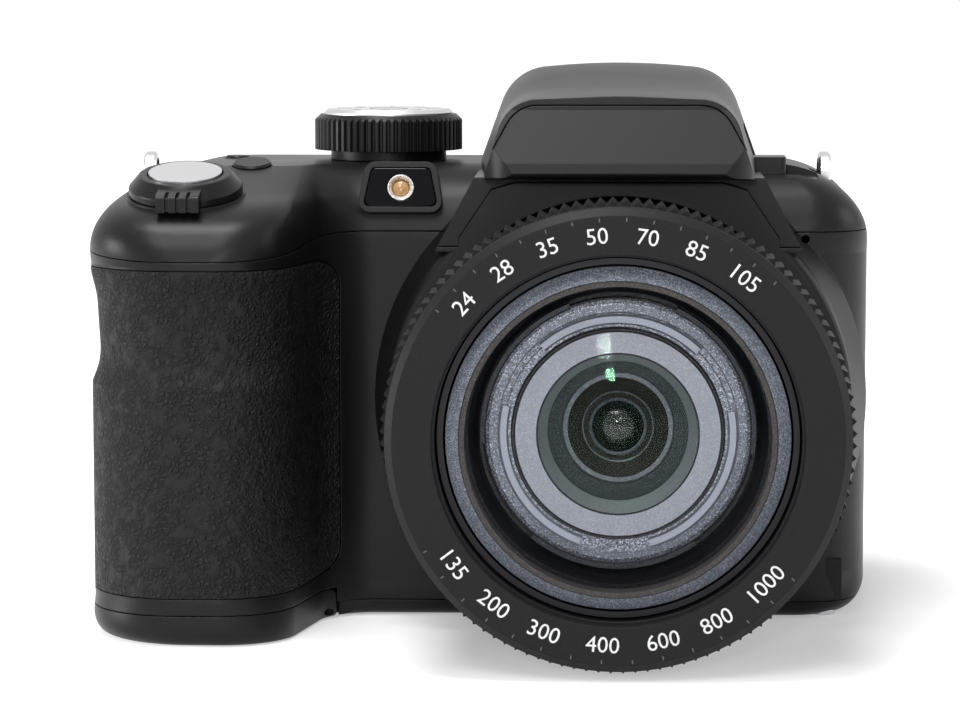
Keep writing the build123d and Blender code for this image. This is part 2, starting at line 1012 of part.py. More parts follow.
def sensor_plate():
    half_width, half_height = plate_width / 2, plate_height / 2
    corners = [(-half_width, -half_height), (half_width, -half_height), (half_width, half_height),
               (-half_width, half_height)]
    return sunk(lens_plane, extrude(rounded_outline(corners, back_corner_round), board_thickness),
                board_thickness - housing_back)


def image_sensor():
    sensor = Box(sensor_width, sensor_height, sensor_depth, align=(Align.CENTER, Align.CENTER, Align.MIN))
    return sunk(lens_plane, sensor, -housing_back)


# Pieces that stand inside the covers


holder_x = battery_thickness / 2 + battery_gap + holder_wall
holder_y = battery_width / 2 + battery_gap + holder_wall
bay_low = door_seam + seam_half_gap + seat_gap


def battery_box(grow=0):
    top = bay_low + battery_height + 2 * battery_gap + holder_wall
    return block(
        (battery_x - holder_x - grow, battery_x + holder_x + grow),
        (battery_y - holder_y - grow, battery_y + holder_y + grow),
        (door_seam - overrun if grow else bay_low, top + grow),
    )


def battery_holder():
    inside = block(
        (battery_x - holder_x + holder_wall, battery_x + holder_x - holder_wall),
        (battery_y - holder_y + holder_wall, battery_y + holder_y - holder_wall),
        (bay_low - overrun, bay_low + battery_height + 2 * battery_gap),
    )
    return battery_box() - inside


def battery():
    half_x, half_y = battery_thickness / 2, battery_width / 2
    cell = block(
        (battery_x - half_x, battery_x + half_x),
        (battery_y - half_y, battery_y + half_y),
        (bay_low + battery_gap, bay_low + battery_gap + battery_height),
    )
    return fillet(cell.edges().filter_by(Axis.Z), half_x / 4)


def card_box(grow=0):
    half_x = card_thickness / 2 + seat_gap + card_wall
    half_y = card_width / 2 + seat_gap + card_wall
    return block(
        (card_x - half_x - grow, card_x + half_x + grow),
        (card_y - half_y - grow, card_y + half_y + grow),
        (door_seam - overrun if grow else bay_low, bay_low + card_height + card_wall + grow),
    )


def card_slot():
    half_x, half_y = card_thickness / 2 + seat_gap, card_width / 2 + seat_gap
    inside = block(
        (card_x - half_x, card_x + half_x),
        (card_y - half_y, card_y + half_y),
        (bay_low - overrun, bay_low + card_height),
    )
    return card_box() - inside


def chassis():
    """The bracket behind the front cover: plate, foot for the tripod socket and posts for the board."""
    front, back = -tube_back, -tube_back + chassis_plate
    plate = block((-chassis_left, chassis_right), (front, back), (chassis_low, chassis_high))
    foot = block((-foot_half, foot_half), (front, foot_back), (foot_low, foot_low + chassis_plate))
    leg = block((-foot_half, foot_half), (front, back), (foot_low, chassis_low))
    body = plate + foot + leg - sunk(lens_plane, post(housing_radius + slip, overrun), overrun / 2 - tube_back)
    posts = [
        (-chassis_left + post_radius, chassis_low + post_radius),
        (-chassis_left + post_radius, chassis_high - post_radius),
        (chassis_right - post_radius, chassis_high - post_radius),
    ]
    for x, z in posts:
        body += Plane(origin=(x, front, z), z_dir=(0, 1, 0)) * post(post_radius, board_back - front)
    return body - Pos(0, 0, foot_low - overrun) * post(socket_outer + running_fit, 2 * overrun)


def main_board():
    return block((-chassis_left, chassis_right), (board_back, board_back + board_thickness),
                 (chassis_low, chassis_high))


def tripod_socket():
    """The threaded bush in the base, with the flange that bears under the bracket's foot."""
    bush = post(socket_outer, socket_depth + socket_floor)
    flange = Pos(0, 0, wall) * post(socket_flange, foot_low - wall)
    return bush + flange - post(socket_bore, socket_depth)


def zoom_motor():
    place = Plane(origin=(motor_x, chassis_plate - tube_back, motor_z), z_dir=(0, 1, 0))
    can = place * post(motor_radius, motor_length)
    return chamfer(can.edges().filter_by(GeomType.CIRCLE).sort_by(Axis.Y)[-1], can_chamfer)


def flash_capacitor():
    y = chassis_plate - tube_back + slip + capacitor_radius
    can = Pos(capacitor_x, y, capacitor_low) * post(capacitor_radius, capacitor_length)
    return chamfer(can.edges().filter_by(GeomType.CIRCLE), can_chamfer)


usb_y = (port_back + port_front) / 2


def usb_box(grow=0):
    return block(
        (body_right - port_thickness - port_boss - socket_length,
         body_right - port_thickness - usb_mouth + (overrun if grow > 0 else 0)),
        (usb_y - usb_height / 2 - grow, usb_y + usb_height / 2 + grow),
        (usb_z - usb_width / 2 - grow, usb_z + usb_width / 2 + grow),
    )


def usb_socket():
    mouth = usb_height / 5
    inside = Pos(mouth * 2, 0, 0) * usb_box(-mouth)
    return usb_box() - inside


# Covers


screw_left = boss_width / 2 + screw_edge_room - door_edge
screw_places = [
    (screw_right, wall - body_front + boss_width / 2),
    (screw_left, wall - body_front + boss_width / 2),
    (screw_right, body_back - wall - boss_width / 2),
    (screw_left, body_back - wall - boss_width / 2),
]


def screw_boss(place):
    x, y = place
    half = boss_width / 2 + overrun / 10
    low = base_seam + seam_half_gap
    return block((x - half, x + half), (y - half, y + half), (low, low + boss_length))


def screw_hole(place):
    x, y = place
    shank = post(screw_shank + screw_fit, screw_sunk + screw_head_height + screw_length + screw_fit)
    return Pos(x, y, 0) * (shank + post(screw_head + screw_fit, screw_sunk + screw_head_height))


def cover_screws():
    screws = []
    for x, y in screw_places:
        head = Pos(x, y, screw_sunk) * post(screw_head, screw_head_height)
        screws.append(head + Pos(x, y, screw_sunk) * post(screw_shank, screw_head_height + screw_length))
    return Compound(children=[screw.solid() for screw in screws])


def foot_zone(lift):
    """All below the base seam and, on the grip's side, below the door seam."""
    points = [
        (-body_left - overrun, -overrun),
        (body_right + overrun, -overrun),
        (body_right + overrun, base_seam + lift),
        (-door_edge + lift, base_seam + lift),
        (-door_edge + lift, door_seam + lift),
        (-body_left - overrun, door_seam + lift),
    ]
    return extrude(Plane.XZ * make_face(Polyline(*points, close=True)), grip_front + overrun, both=True)


def behind(distance):
    """All that lies behind a distance from the origin."""
    reach = body_left + overrun
    return block((-reach, reach), (distance, body_back + overrun), (-overrun, crown_z + overrun))


def lens_opening():
    """The hole round the lens tube through the covers, wide ahead of the bracket and narrow behind it."""
    length = shroud_front + overrun - tube_back + slip
    return sunk(lens_plane, post(tube_clearance, length), slip - tube_back)


def skin_zone(grow):
    points = [
        (-body_left - overrun, skin_low - grow),
        (-skin_edge + grow, skin_low - grow),
        (-skin_edge + grow, skin_high + grow),
        (-body_left - overrun, skin_high + grow),
    ]
    outline = rounded_outline(points, [0, skin_corner, skin_corner, 0])
    return facing_front(outline, -skin_back - grow, grip_front + overrun)


def skin_core(inset):
    return extrude(plan(upright_low, inset), upright_high + overrun - upright_low)


def grip_rubber():
    """The skin round the grip, straight up to a ledge and waisted above it for the fingers."""
    sections = []
    for height_share, depth_share in groove_shares:
        z = ledge_z + height_share * (skin_high + running_fit - ledge_z)
        outline = plan(upright_low, 0, waist * depth_share, finger_groove * depth_share)
        sections.append(Pos(0, 0, z - upright_low) * outline)
    straight = extrude(plan(upright_low), ledge_z - upright_low)
    return (straight + loft(sections) - skin_core(skin_depth)) & skin_zone(0)


def port_flap_zone(grow):
    return block(
        (body_right - port_thickness - grow / 2, body_right + overrun if grow else body_right),
        (port_front - grow, port_back + grow),
        (port_low - grow, port_high + grow),
    )


port_axis_x = body_right - port_thickness / 2
port_axis_y = port_front + port_thickness / 2


def port_cover():
    flap = port_flap_zone(0)
    front = flap.edges().filter_by(Axis.Z).sort_by(Axis.Y)[:2]
    flap = fillet(front, port_thickness / 2 - running_fit / 5)
    pin = Pos(port_axis_x, port_axis_y, port_low - trunnion_length)
    return flap + pin * post(port_trunnion, port_high - port_low + 2 * trunnion_length)


def port_pocket():
    pin = Pos(port_axis_x, port_axis_y, port_low - trunnion_length - running_fit)
    length = port_high - port_low + 2 * (trunnion_length + running_fit)
    return port_flap_zone(seat_gap) + pin * post(port_trunnion + running_fit, length)


def port_shelf():
    """The thick place behind the port cover that its socket passes through."""
    depth = port_thickness + port_boss
    shelf = block(
        (body_right - depth, body_right - wall / 2),
        (port_front - port_margin, port_back),
        (port_low - port_margin, port_high + port_margin),
    )
    return shelf - usb_box(seat_gap)


def trim_strip(grow=0):
    """The light strip down the lens side, let into the covers by the rear seam."""
    points = [
        (body_right - trim_sunk - grow, trim_low - grow),
        (body_right, trim_low - grow),
        (body_right + (overrun if grow else trim_proud), trim_high - (trim_high - trim_low) / 3),
        (body_right + (overrun if grow else trim_proud), trim_high + grow),
        (body_right - trim_sunk - grow, trim_high + grow),
    ]
    outline = make_face(Polyline(*points, close=True))
    return facing_back(outline, rear_seam - seam_half_gap - trim_width - grow, rear_seam - seam_half_gap)


def front_cover():
    shell = outer_form - hollow - upper_zone(-seam_half_gap) - foot_zone(seam_half_gap)
    shell -= behind(rear_seam - seam_half_gap)
    shell += [screw_boss(place) for place in screw_places[:2]]
    shell += port_shelf()
    shell -= lens_opening()
    shell -= skin_zone(seat_gap) - skin_core(skin_depth + seat_gap / 3)
    shell -= battery_box(seat_gap) + card_box(seat_gap)
    shell -= port_pocket() + usb_box(seat_gap)
    shell -= trim_strip(seat_gap / 2)
    mic = Plane(origin=(mic_x, -body_front - overrun, mic_z), z_dir=(0, 1, 0))
    shell -= mic * post(mic_radius, overrun + mic_depth)
    for place in screw_places[:2]:
        shell -= screw_hole(place)
    return shell


def screen_outline(inset):
    points = [(-screen_left - inset, screen_low + inset), (-screen_right + inset, screen_low + inset),
              (-screen_right + inset, screen_high - inset), (-screen_left - inset, screen_high - inset)]
    return rounded_outline(points, screen_round)


def back_slab(outline, depth, proud=0):
    """A rear view, drawn with +X to the viewer's right, from a depth below the back to a height above it."""
    plane = Plane(origin=(0, body_back + proud, 0), x_dir=(-1, 0, 0), z_dir=(0, 1, 0))
    return plane * extrude(outline, -depth - proud)


def thumb_outline(inset=0):
    points = [(-thumb_left - inset, thumb_low + inset), (-thumb_right + inset, thumb_low + inset),
              (-thumb_right + inset, thumb_high - inset), (-thumb_left - inset, thumb_high - inset)]
    return rounded_outline(points, thumb_round - inset)


def rear_cover():
    shell = outer_form - hollow - upper_zone(-seam_half_gap) - foot_zone(seam_half_gap)
    shell &= behind(rear_seam + seam_half_gap)
    shell += [screw_boss(place) for place in screw_places[2:]]
    shell -= back_slab(screen_outline(0), screen_glass + seat_gap)
    shell -= back_slab(screen_outline(panel_margin), wall + overrun)
    shell -= back_slab(thumb_outline(-seat_gap / 2), thumb_sunk + running_fit)
    for z, radius in column_buttons.values():
        place = back_plane(column_x, z)
        shell -= sunk(place, post(radius + button_gap, wall + overrun), wall + overrun / 2)
        shell -= sunk(place, post(radius + flange_extra + button_gap, overrun), wall + overrun)
    shell -= sunk(back_plane(pad_x, pad_z), post(pad_radius + button_gap, pad_depth + overrun), pad_depth)
    for place in screw_places[2:]:
        shell -= screw_hole(place)
    return shell


def base_cover():
    plate = (outer_form - hollow) & foot_zone(-seam_half_gap)
    plate -= block((-body_left - overrun, seam_half_gap - door_edge), (-grip_front - overrun, grip_front),
                   (-overrun, body_top))
    plate -= block((-body_left, body_right), (-grip_front, seam_half_gap - body_front), (-overrun, base_seam))
    for y in ear_places:
        plate += hinge_ear_form(y)
    plate -= post(socket_outer + seat_gap, overrun)
    for place in screw_places:
        plate -= screw_hole(place)
    pin = Plane(origin=(pin_x, -hinge_pin_half, pin_z), z_dir=(0, 1, 0))
    return plate - pin * post(hinge_pin_radius, 2 * hinge_pin_half)


def hinge_ear_form(y):
    """An ear of the base that holds the end of the door's pin."""
    place = Plane(origin=(pin_x, y, pin_z), z_dir=(0, 1, 0))
    root = hinge_ear_root - door_edge
    bar = block((pin_x, root), (y, y + hinge_ear), (pin_z - hinge_knuckle, pin_z + hinge_knuckle))
    return place * post(hinge_knuckle, hinge_ear) + bar


def hinge_ear_room(y):
    """The room in the door for an ear of the base, whose square foot turns inside it."""
    gap = 2 * seat_gap
    reach = hinge_knuckle * math.sqrt(2) + seat_gap
    place = Plane(origin=(pin_x, y - gap, pin_z), z_dir=(0, 1, 0))
    beside = block((pin_x, 0), (y - gap, y + hinge_ear + gap), (-overrun, body_top))
    return place * post(reach, hinge_ear + 2 * gap) + beside


def latch_box(grow=0, travel=0):
    low = latch_sunk if not grow else -overrun
    return block(
        (latch_x - latch_length / 2 - grow, latch_x + latch_length / 2 + grow + travel),
        (latch_y - latch_width / 2 - grow, latch_y + latch_width / 2 + grow),
        (low, latch_sunk + latch_thickness + grow),
    )


def battery_door():
    """The foot of the grip, hung on the base by a pin along its inner edge."""
    shell = outer_form & foot_zone(-seam_half_gap)
    edge = -door_edge - seam_half_gap
    shell &= block((-body_left - overrun, edge), (-grip_front - overrun, grip_front), (-overrun, body_top))
    corner = shell.edges().filter_by(Axis.Y).sort_by(Axis.X)[-2:]
    low_edge = corner.sort_by(Axis.Z)[0]
    high_edge = corner.sort_by(Axis.Z)[1]
    shell = fillet(low_edge, hinge_knuckle - running_fit)
    high_edge = shell.edges().filter_by(Axis.Y).sort_by(Axis.X)[-3:].sort_by(Axis.Z)[-1]
    shell = fillet(high_edge, hinge_knuckle)
    for y in ear_places:
        shell -= hinge_ear_room(y)
    pin = Plane(origin=(pin_x, -body_front - overrun, pin_z), z_dir=(0, 1, 0))
    shell -= pin * post(hinge_pin_radius + running_fit, 2 * (body_front + overrun))
    return shell - latch_box(seat_gap, latch_travel)


def door_pin():
    place = Plane(origin=(pin_x, -hinge_pin_half, pin_z), z_dir=(0, 1, 0))
    return place * post(hinge_pin_radius, 2 * hinge_pin_half)


def door_latch():
    slider = latch_box()
    x, y = latch_x, latch_y
    for step in (-1, 0, 1):
        groove = Pos(x + step * latch_rib * 3, y, 0) * Box(latch_rib, latch_width * 2 / 3, latch_sunk + latch_rib,
                                                          align=(Align.CENTER, Align.CENTER, Align.MIN))
        slider -= groove
    return slider


def top_cover():
    reach = knuckle_half
    shell = outer_form - hollow
    centre = hump & knuckle(knuckle_radius, -reach, reach)
    lid_room = lid_wedge(seat_gap) - arch_form(0) - knuckle(knuckle_radius, -reach, reach)
    fixed_hump = hump - lid_room - lid_sweep() - outer_knuckles(knuckle_radius + seat_gap, reach)
    shell = shell + fixed_hump + centre
    shell &= upper_zone(seam_half_gap)
    shell += shutter_plane * Pos(0, 0, -boss_depth) * post(boss_radius, boss_depth + boss_rise)
    shell += lamp_plane * extrude(pod_outline(), -pod_depth)
    shelf_low = release_low - button_gap - release_shelf
    shell += block((release_inner - release_margin, release_outer + release_margin),
                   (-release_front - release_margin, release_margin - release_back),
                   (shelf_low, release_low))
    shell -= lens_opening() + flash_well()
    shell -= sunk(shutter_plane, post(shutter_stem + button_gap, stem_depth + 2 * overrun), stem_depth + overrun / 5)
    shell -= sunk(power_plane, post(power_radius + button_gap, button_hole_depth + overrun), button_hole_depth)
    shell -= sunk(top_button_plane, post(top_button_radius + button_gap, button_hole_depth + overrun),
                  button_hole_depth)
    shell -= dial_plane * Pos(0, 0, body_top - wall - overrun) * post(dial_stem + slip, 2 * overrun + wall)
    shell -= lamp_plane * extrude(pod_outline(window_inset), -window_depth - seat_gap)
    shell -= sunk(lamp_plane, post(focus_lamp_radius + seat_gap / 2, focus_lamp_length + overrun),
                  window_depth + seat_gap + focus_lamp_length + seat_gap)
    shell -= release_block(button_gap)
    for lug_x, lug_z in ((left_lug_x, left_lug_z), (right_lug_x, right_lug_z)):
        shell -= lug_space(lug_x, lug_z)
    shell -= Plane.YZ * Pos(flash_hinge_y, flash_hinge_z, 0) * Cylinder(flash_pin_radius, 2 * knuckle_half)
    return shell


def flash_well():
    half = flash_well_half
    return block((-half, half), (-flash_well_front, -flash_well_back), (flash_well_floor, crown_z + overrun))


def release_block(grow=0):
    travel = release_travel + slip if grow else 0
    out = overrun if grow else 0
    return block(
        (release_inner - grow - travel, release_outer + out),
        (-release_front - grow, grow - release_back),
        (release_low - grow, release_high + out),
    )


def release_button():
    piece = release_block()
    return fillet(piece.edges().filter_by(Axis.Z).sort_by(Axis.X)[-2:], button_round * 2)


def lug_plate(x, z, grow=0):
    """An eyelet plate that faces along X, with a straight foot let into the cover."""
    half = lug_thickness / 2 + grow
    eye = Plane(origin=(x - half, lug_y, z), x_dir=(0, 1, 0), z_dir=(1, 0, 0))
    foot = block((x - half, x + half), (lug_y - lug_radius - grow, lug_y + lug_radius + grow),
                 (z - lug_depth - grow, z))
    return eye * post(lug_radius + grow, 2 * half) + foot


def lug_space(x, z):
    """The scoop that frees the eye, and the slot for the plate's foot."""
    half = lug_thickness / 2 + lug_side_room
    plane = Plane(origin=(x - half, lug_y, z), x_dir=(0, 1, 0), z_dir=(1, 0, 0))
    return plane * post(lug_radius + lug_scoop, 2 * half) + lug_plate(x, z, running_fit)


def strap_lug(x, z):
    hole = Plane(origin=(x - lug_thickness, lug_y, z), x_dir=(0, 1, 0), z_dir=(1, 0, 0))
    plate = lug_plate(x, z) - hole * post(lug_hole, 2 * lug_thickness)
    rims = plate.edges().filter_by(GeomType.CIRCLE)
    return chamfer(rims, lug_thickness * lug_rim_share)


# Flash


def flash_lid():
    inner = knuckle_half + seat_gap
    shell = (hump & lid_wedge(0)) - arch_form(seat_gap)
    arms = hump & outer_knuckles(knuckle_radius, inner)
    lid = shell + arms - knuckle(knuckle_radius + seat_gap, -inner, inner)
    bore = Plane.YZ * Pos(flash_hinge_y, flash_hinge_z, 0)
    return lid - bore * Cylinder(flash_pin_radius + running_fit, 2 * flash_pin_half + 2 * slip)


def flash_pin():
    return Plane.YZ * Pos(flash_hinge_y, flash_hinge_z, 0) * Cylinder(flash_pin_radius, 2 * flash_pin_half)


slant = math.radians(90 - flash_angle)
window_plane = Plane(
    origin=(0, -flash_window_top, lid_underside),
    x_dir=(1, 0, 0),
    z_dir=(0, -math.sin(slant), -math.cos(slant)),
)


def flash_window():
    """The clear panel, which faces the subject once the lid is up."""
    half = flash_box_half
    pane = block((-half, half), (-flash_window_length, 0), (-flash_window_thickness, 0))
    return (window_plane * pane) & arch_form(0)


def flash_reflector():
    half, length = flash_box_half, flash_window_length
    depth = flash_window_thickness + seat_gap / 3
    outer = window_plane * block((-half, half), (-length, 0), (-depth - length, -depth))
    room = block((-half, half), (-plate_top_forward, -reflector_back), (flash_well_floor, crown_z))
    body = outer & room & arch_form(0)
    end = half - flash_tube_radius * 1.2
    trough_centre = window_plane * Pos(0, -length / 2, -depth)
    trough = trough_centre * Rotation(0, 90, 0) * Cylinder(reflector_trough, 2 * end)
    seat = flash_tube_place() * Cylinder(flash_tube_radius + running_fit, 2 * half - flash_tube_radius)
    return body - trough - seat


def flash_tube_place():
    depth = flash_window_thickness + reflector_trough / 2
    return window_plane * Pos(0, -flash_window_length / 2, -depth) * Rotation(0, 90, 0)


def flash_tube():
    return flash_tube_place() * Cylinder(flash_tube_radius, 2 * flash_box_half - 2 * flash_tube_radius)


# Controls


def zoom_lever():
    """The ring round the shutter button, with a grooved tab for the finger."""
    bore = shutter_radius + button_gap
    profile = [
        (bore, 0),
        (lever_base_radius, 0),
        (lever_base_radius, lever_skirt),
        (lever_top_radius, lever_height),
        (bore, lever_height),
    ]
    ring = revolve(Plane.XZ * rounded_outline(profile, [0, 0, button_round, button_round, 0]), Axis.Z)
    tab = block((-tab_half, tab_half), (-tab_reach, -lever_top_radius + tab_round), (0, tab_height))
    tab = fillet(tab.edges().filter_by(Axis.X).sort_by(Axis.Y)[:2].sort_by(Axis.Z)[-1:], tab_round)
    for step in (-1, 0, 1):
        x = step * tab_half / 2
        top = block((x - tab_groove / 2, x + tab_groove / 2), (-tab_reach, -lever_base_radius),
                    (tab_height - tab_groove_depth, tab_height))
        face = block((x - tab_groove / 2, x + tab_groove / 2), (-tab_reach, tab_groove_depth - tab_reach),
                     (0, tab_height))
        tab -= top + face
    return sunk(shutter_plane, ring + tab, -boss_rise - seat_gap)


def shutter_button():
    low = boss_rise + seat_gap + shutter_lift + push_travel
    top = boss_rise + seat_gap + lever_height + shutter_lift
    crown = shutter_dome - math.sqrt(shutter_dome**2 - shutter_radius**2)
    disc = Pos(0, 0, low) * post(shutter_radius, top - low)
    ball = Pos(0, 0, top + crown / 2 - shutter_dome) * Sphere(shutter_dome)
    cap = disc & ball
    return shutter_plane * (cap + Pos(0, 0, -stem_depth + push_travel) * post(shutter_stem, stem_depth + low))


def mode_dial():
    """The knurled dial with its chamfered top, its neck and the stem that turns in the switch."""
    root = dial_radius - dial_knurl
    steps = ((0, root), (0.22, root), (0.42, dial_radius), (0.8, dial_radius))
    knob = Pos(0, 0, dial_low) * toothed_disc(steps, dial_ridges, dial_high - dial_low)
    cone = Pos(0, 0, dial_high - dial_chamfer) * Cone(dial_radius, dial_radius - dial_chamfer, dial_chamfer,
                                                      align=(Align.CENTER, Align.CENTER, Align.MIN))
    knob &= Pos(0, 0, dial_low) * post(dial_radius, dial_high - dial_low - dial_chamfer) + cone
    neck_low = body_top + seat_gap
    neck = Pos(0, 0, neck_low) * post(dial_neck, dial_low - neck_low)
    stem = Pos(0, 0, dial_stem_low) * post(dial_stem, dial_low - dial_stem_low)
    return dial_plane * (knob + neck + stem)


def dial_cap():
    disc = Pos(0, 0, dial_high) * post(dial_cap_radius, dial_cap_height)
    rim = disc.edges().filter_by(GeomType.CIRCLE).sort_by(Axis.Z)[-1]
    return dial_plane * chamfer(rim, dial_cap_height * 0.7)


def dial_switch():
    body = Pos(0, 0, switch_low) * post(switch_radius, body_top - wall - switch_low)
    bore = Pos(0, 0, dial_stem_low - slip) * post(dial_stem + running_fit, body_top - dial_stem_low)
    return dial_plane * (body - bore)


def af_window():
    pane = extrude(pod_outline(window_inset + seat_gap / 2), -window_depth)
    return lamp_plane * pane


def af_lamp():
    lamp = sunk(lamp_plane, post(focus_lamp_radius, focus_lamp_length), window_depth + seat_gap + focus_lamp_length)
    return lamp


def lcd_window():
    return back_slab(screen_outline(seat_gap), screen_glass)


def lcd_panel():
    panel = back_slab(screen_outline(panel_margin + seat_gap), screen_glass + seat_gap + panel_depth)
    return panel - back_slab(screen_outline(-overrun), screen_glass + seat_gap, overrun)


def thumb_rubber():
    """A pad let into the back for the thumb, with a raised heel."""
    pad = back_slab(thumb_outline(), thumb_sunk, thumb_proud)
    rim = pad.edges().group_by(Axis.Y)[-1]
    return fillet(rim, thumb_edge)


column_buttons = {
    "record_button": (record_z, record_radius),
    "playback_button": (playback_z, small_radius),
    "menu_button": (menu_z, small_radius),
    "delete_button": (delete_z, small_radius),
}


def column_button(z, radius):
    """A rear button with a flange that keeps it behind the wall."""
    cap = button(radius, wall + slip, rear_button_proud)
    flange = Pos(0, 0, -wall - slip - flange_depth) * post(radius + flange_extra, flange_depth)
    return back_plane(column_x, z) * (cap + flange)


def four_way_pad():
    ring = button(pad_radius, pad_depth - push_travel - slip, pad_proud) - Pos(0, 0, -overrun) * post(
        set_radius + button_gap, 2 * overrun)
    return back_plane(pad_x, pad_z) * ring


def set_button():
    return back_plane(pad_x, pad_z) * button(set_radius, pad_depth - push_travel - slip, pad_proud + button_round)


outer_form = body_form() + shroud_form() + saddle_form()
hollow = cavity_form()
hump = hump_form()

pieces = {
    "front_cover": front_cover,
    "rear_cover": rear_cover,
    "top_cover": top_cover,
    "base_cover": base_cover,
    "grip_rubber": grip_rubber,
    "thumb_rubber": thumb_rubber,
    "side_trim": trim_strip,
    "chassis": chassis,
    "tripod_socket": tripod_socket,
    "main_board": main_board,
    "flash_capacitor": flash_capacitor,
    "zoom_motor": zoom_motor,
    "battery_holder": battery_holder,
    "battery": battery,
    "card_slot": card_slot,
    "usb_socket": usb_socket,
    "cover_screws": cover_screws,
    "af_window": af_window,
    "af_lamp": af_lamp,
    "strap_lug_left": lambda: strap_lug(left_lug_x, left_lug_z),
    "strap_lug_right": lambda: strap_lug(right_lug_x, right_lug_z),
    "lens_ring": lens_ring,
    "lens_tube": lens_tube,
    "outer_barrel": outer_barrel,
    "inner_barrel": inner_barrel,
    "rim_ring": rim_ring,
    "front_lens": front_lens,
    "lens_funnel": lens_funnel,
    "second_frame": second_frame,
    "second_lens": second_lens,
    "third_frame": third_frame,
    "third_lens": third_lens,
    "rear_lens": rear_lens,
    "image_sensor": image_sensor,
    "sensor_plate": sensor_plate,
    "lcd_window": lcd_window,
    "lcd_panel": lcd_panel,
    "dial_switch": dial_switch,
    "mode_dial": mode_dial,
    "dial_cap": dial_cap,
    "zoom_lever": zoom_lever,
    "shutter_button": shutter_button,
    "power_button": lambda: power_plane * button(power_radius, button_depth, button_lift),
    "top_button": lambda: top_button_plane * button(top_button_radius, button_depth, button_lift),
    "flash_lid": flash_lid,
    "flash_window": flash_window,
    "flash_reflector": flash_reflector,
    "flash_tube": flash_tube,
    "flash_pin": flash_pin,
    "release_button": release_button,
    "record_button": lambda: column_button(*column_buttons["record_button"]),
    "playback_button": lambda: column_button(*column_buttons["playback_button"]),
    "menu_button": lambda: column_button(*column_buttons["menu_button"]),
    "delete_button": lambda: column_button(*column_buttons["delete_button"]),
    "four_way_pad": four_way_pad,
    "set_button": set_button,
    "battery_door": battery_door,
    "door_pin": door_pin,
    "door_latch": door_latch,
    "port_cover": port_cover,
}

for name, make in pieces.items():
    save(name, make())
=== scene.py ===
# %% [markdown]
# # A bridge camera with its zoom lens drawn in
#
# This lesson dresses the solids of a bridge camera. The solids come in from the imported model, in metres,
# with the lens pointing to -Y and the mouth of the tripod socket at the origin. They are never moved. Each
# step gives a piece its finish, or adds the fine detail that a solid model leaves out.

# %% Bring in the solids
import math

import bmesh
import bpy
from mathutils import Matrix, Vector


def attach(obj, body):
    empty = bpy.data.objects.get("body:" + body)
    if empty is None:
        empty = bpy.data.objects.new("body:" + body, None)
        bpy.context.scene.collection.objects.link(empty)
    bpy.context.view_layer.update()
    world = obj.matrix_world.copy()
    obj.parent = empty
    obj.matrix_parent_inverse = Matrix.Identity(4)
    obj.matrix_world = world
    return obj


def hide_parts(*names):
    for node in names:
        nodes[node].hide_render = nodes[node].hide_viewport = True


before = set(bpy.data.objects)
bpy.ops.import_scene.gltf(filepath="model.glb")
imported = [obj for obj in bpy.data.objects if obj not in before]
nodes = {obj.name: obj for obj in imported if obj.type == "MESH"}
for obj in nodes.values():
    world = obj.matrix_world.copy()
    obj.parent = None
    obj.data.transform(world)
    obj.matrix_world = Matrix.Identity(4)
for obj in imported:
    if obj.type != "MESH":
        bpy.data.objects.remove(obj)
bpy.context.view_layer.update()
mm = 0.001
lens_height = 34.3

# %% [markdown]
# ## Reading a finish off the real thing
#
# A camera body has few colours but many finishes: spark-eroded black plastic, grained rubber, anodised
# rings, plated buttons and coated glass. Each could be a single shader with one roughness. That looks like
# paint, so each finish here has a grain in real millimetres. The grain reads the object's own coordinates,
# because they stay with a piece when it moves.

# %% The start of every finish
def finish(name, colour, roughness, metallic=0.0, specular=0.5):
    """A principled material with its plain values on the shader's own sockets."""
    material = bpy.data.materials.new(name)
    material.use_nodes = True
    shader = material.node_tree.nodes["Principled BSDF"]
    shader.inputs["Base Color"].default_value = (*colour, 1.0)
    shader.inputs["Roughness"].default_value = roughness
    shader.inputs["Metallic"].default_value = metallic
    shader.inputs["Specular IOR Level"].default_value = specular
    return material


def scaled(colour, factor):
    """The same colour, darker or lighter."""
    return tuple(channel * factor for channel in colour)


print("helpers: finish, scaled")

# %% [markdown]
# ## Textures that stay with the piece
#
# A grain could be laid on with UV maps, but none of these solids has one, and each would need its own seams.
# Object coordinates need no map. They are in metres, so a texture's scale is one over the size of its lumps.

# %% Grain and flakes
def own_place(tree):
    """The point being shaded, in the object's own coordinates."""
    return tree.nodes.new("ShaderNodeTexCoord").outputs["Object"]


def grain_noise(material, size, detail=3.0):
    """A noise texture whose lumps are about the given size in millimetres."""
    tree = material.node_tree
    noise = tree.nodes.new("ShaderNodeTexNoise")
    noise.inputs["Scale"].default_value = 1 / (size * mm)
    noise.inputs["Detail"].default_value = detail
    noise.inputs["Roughness"].default_value = 0.55
    tree.links.new(own_place(tree), noise.inputs["Vector"])
    return noise.outputs["Fac"]


def flake_noise(material, size):
    """Tiny cells of about the given size in millimetres, each with its own value."""
    tree = material.node_tree
    flakes = tree.nodes.new("ShaderNodeTexVoronoi")
    flakes.inputs["Scale"].default_value = 1 / (size * mm)
    tree.links.new(own_place(tree), flakes.inputs["Vector"])
    split = tree.nodes.new("ShaderNodeSeparateColor")
    tree.links.new(flakes.outputs["Color"], split.inputs["Color"])
    return split.outputs["Red"]


print("helpers: own_place, grain_noise, flake_noise")

# %% [markdown]
# ## From a texture to a look
#
# A texture does nothing until it drives something. Here it can lift the surface as bump, spread the
# roughness between two values, or run through two colours. Small helpers for these three keep every later
# finish down to a few lines, and each finish then reads like a recipe.

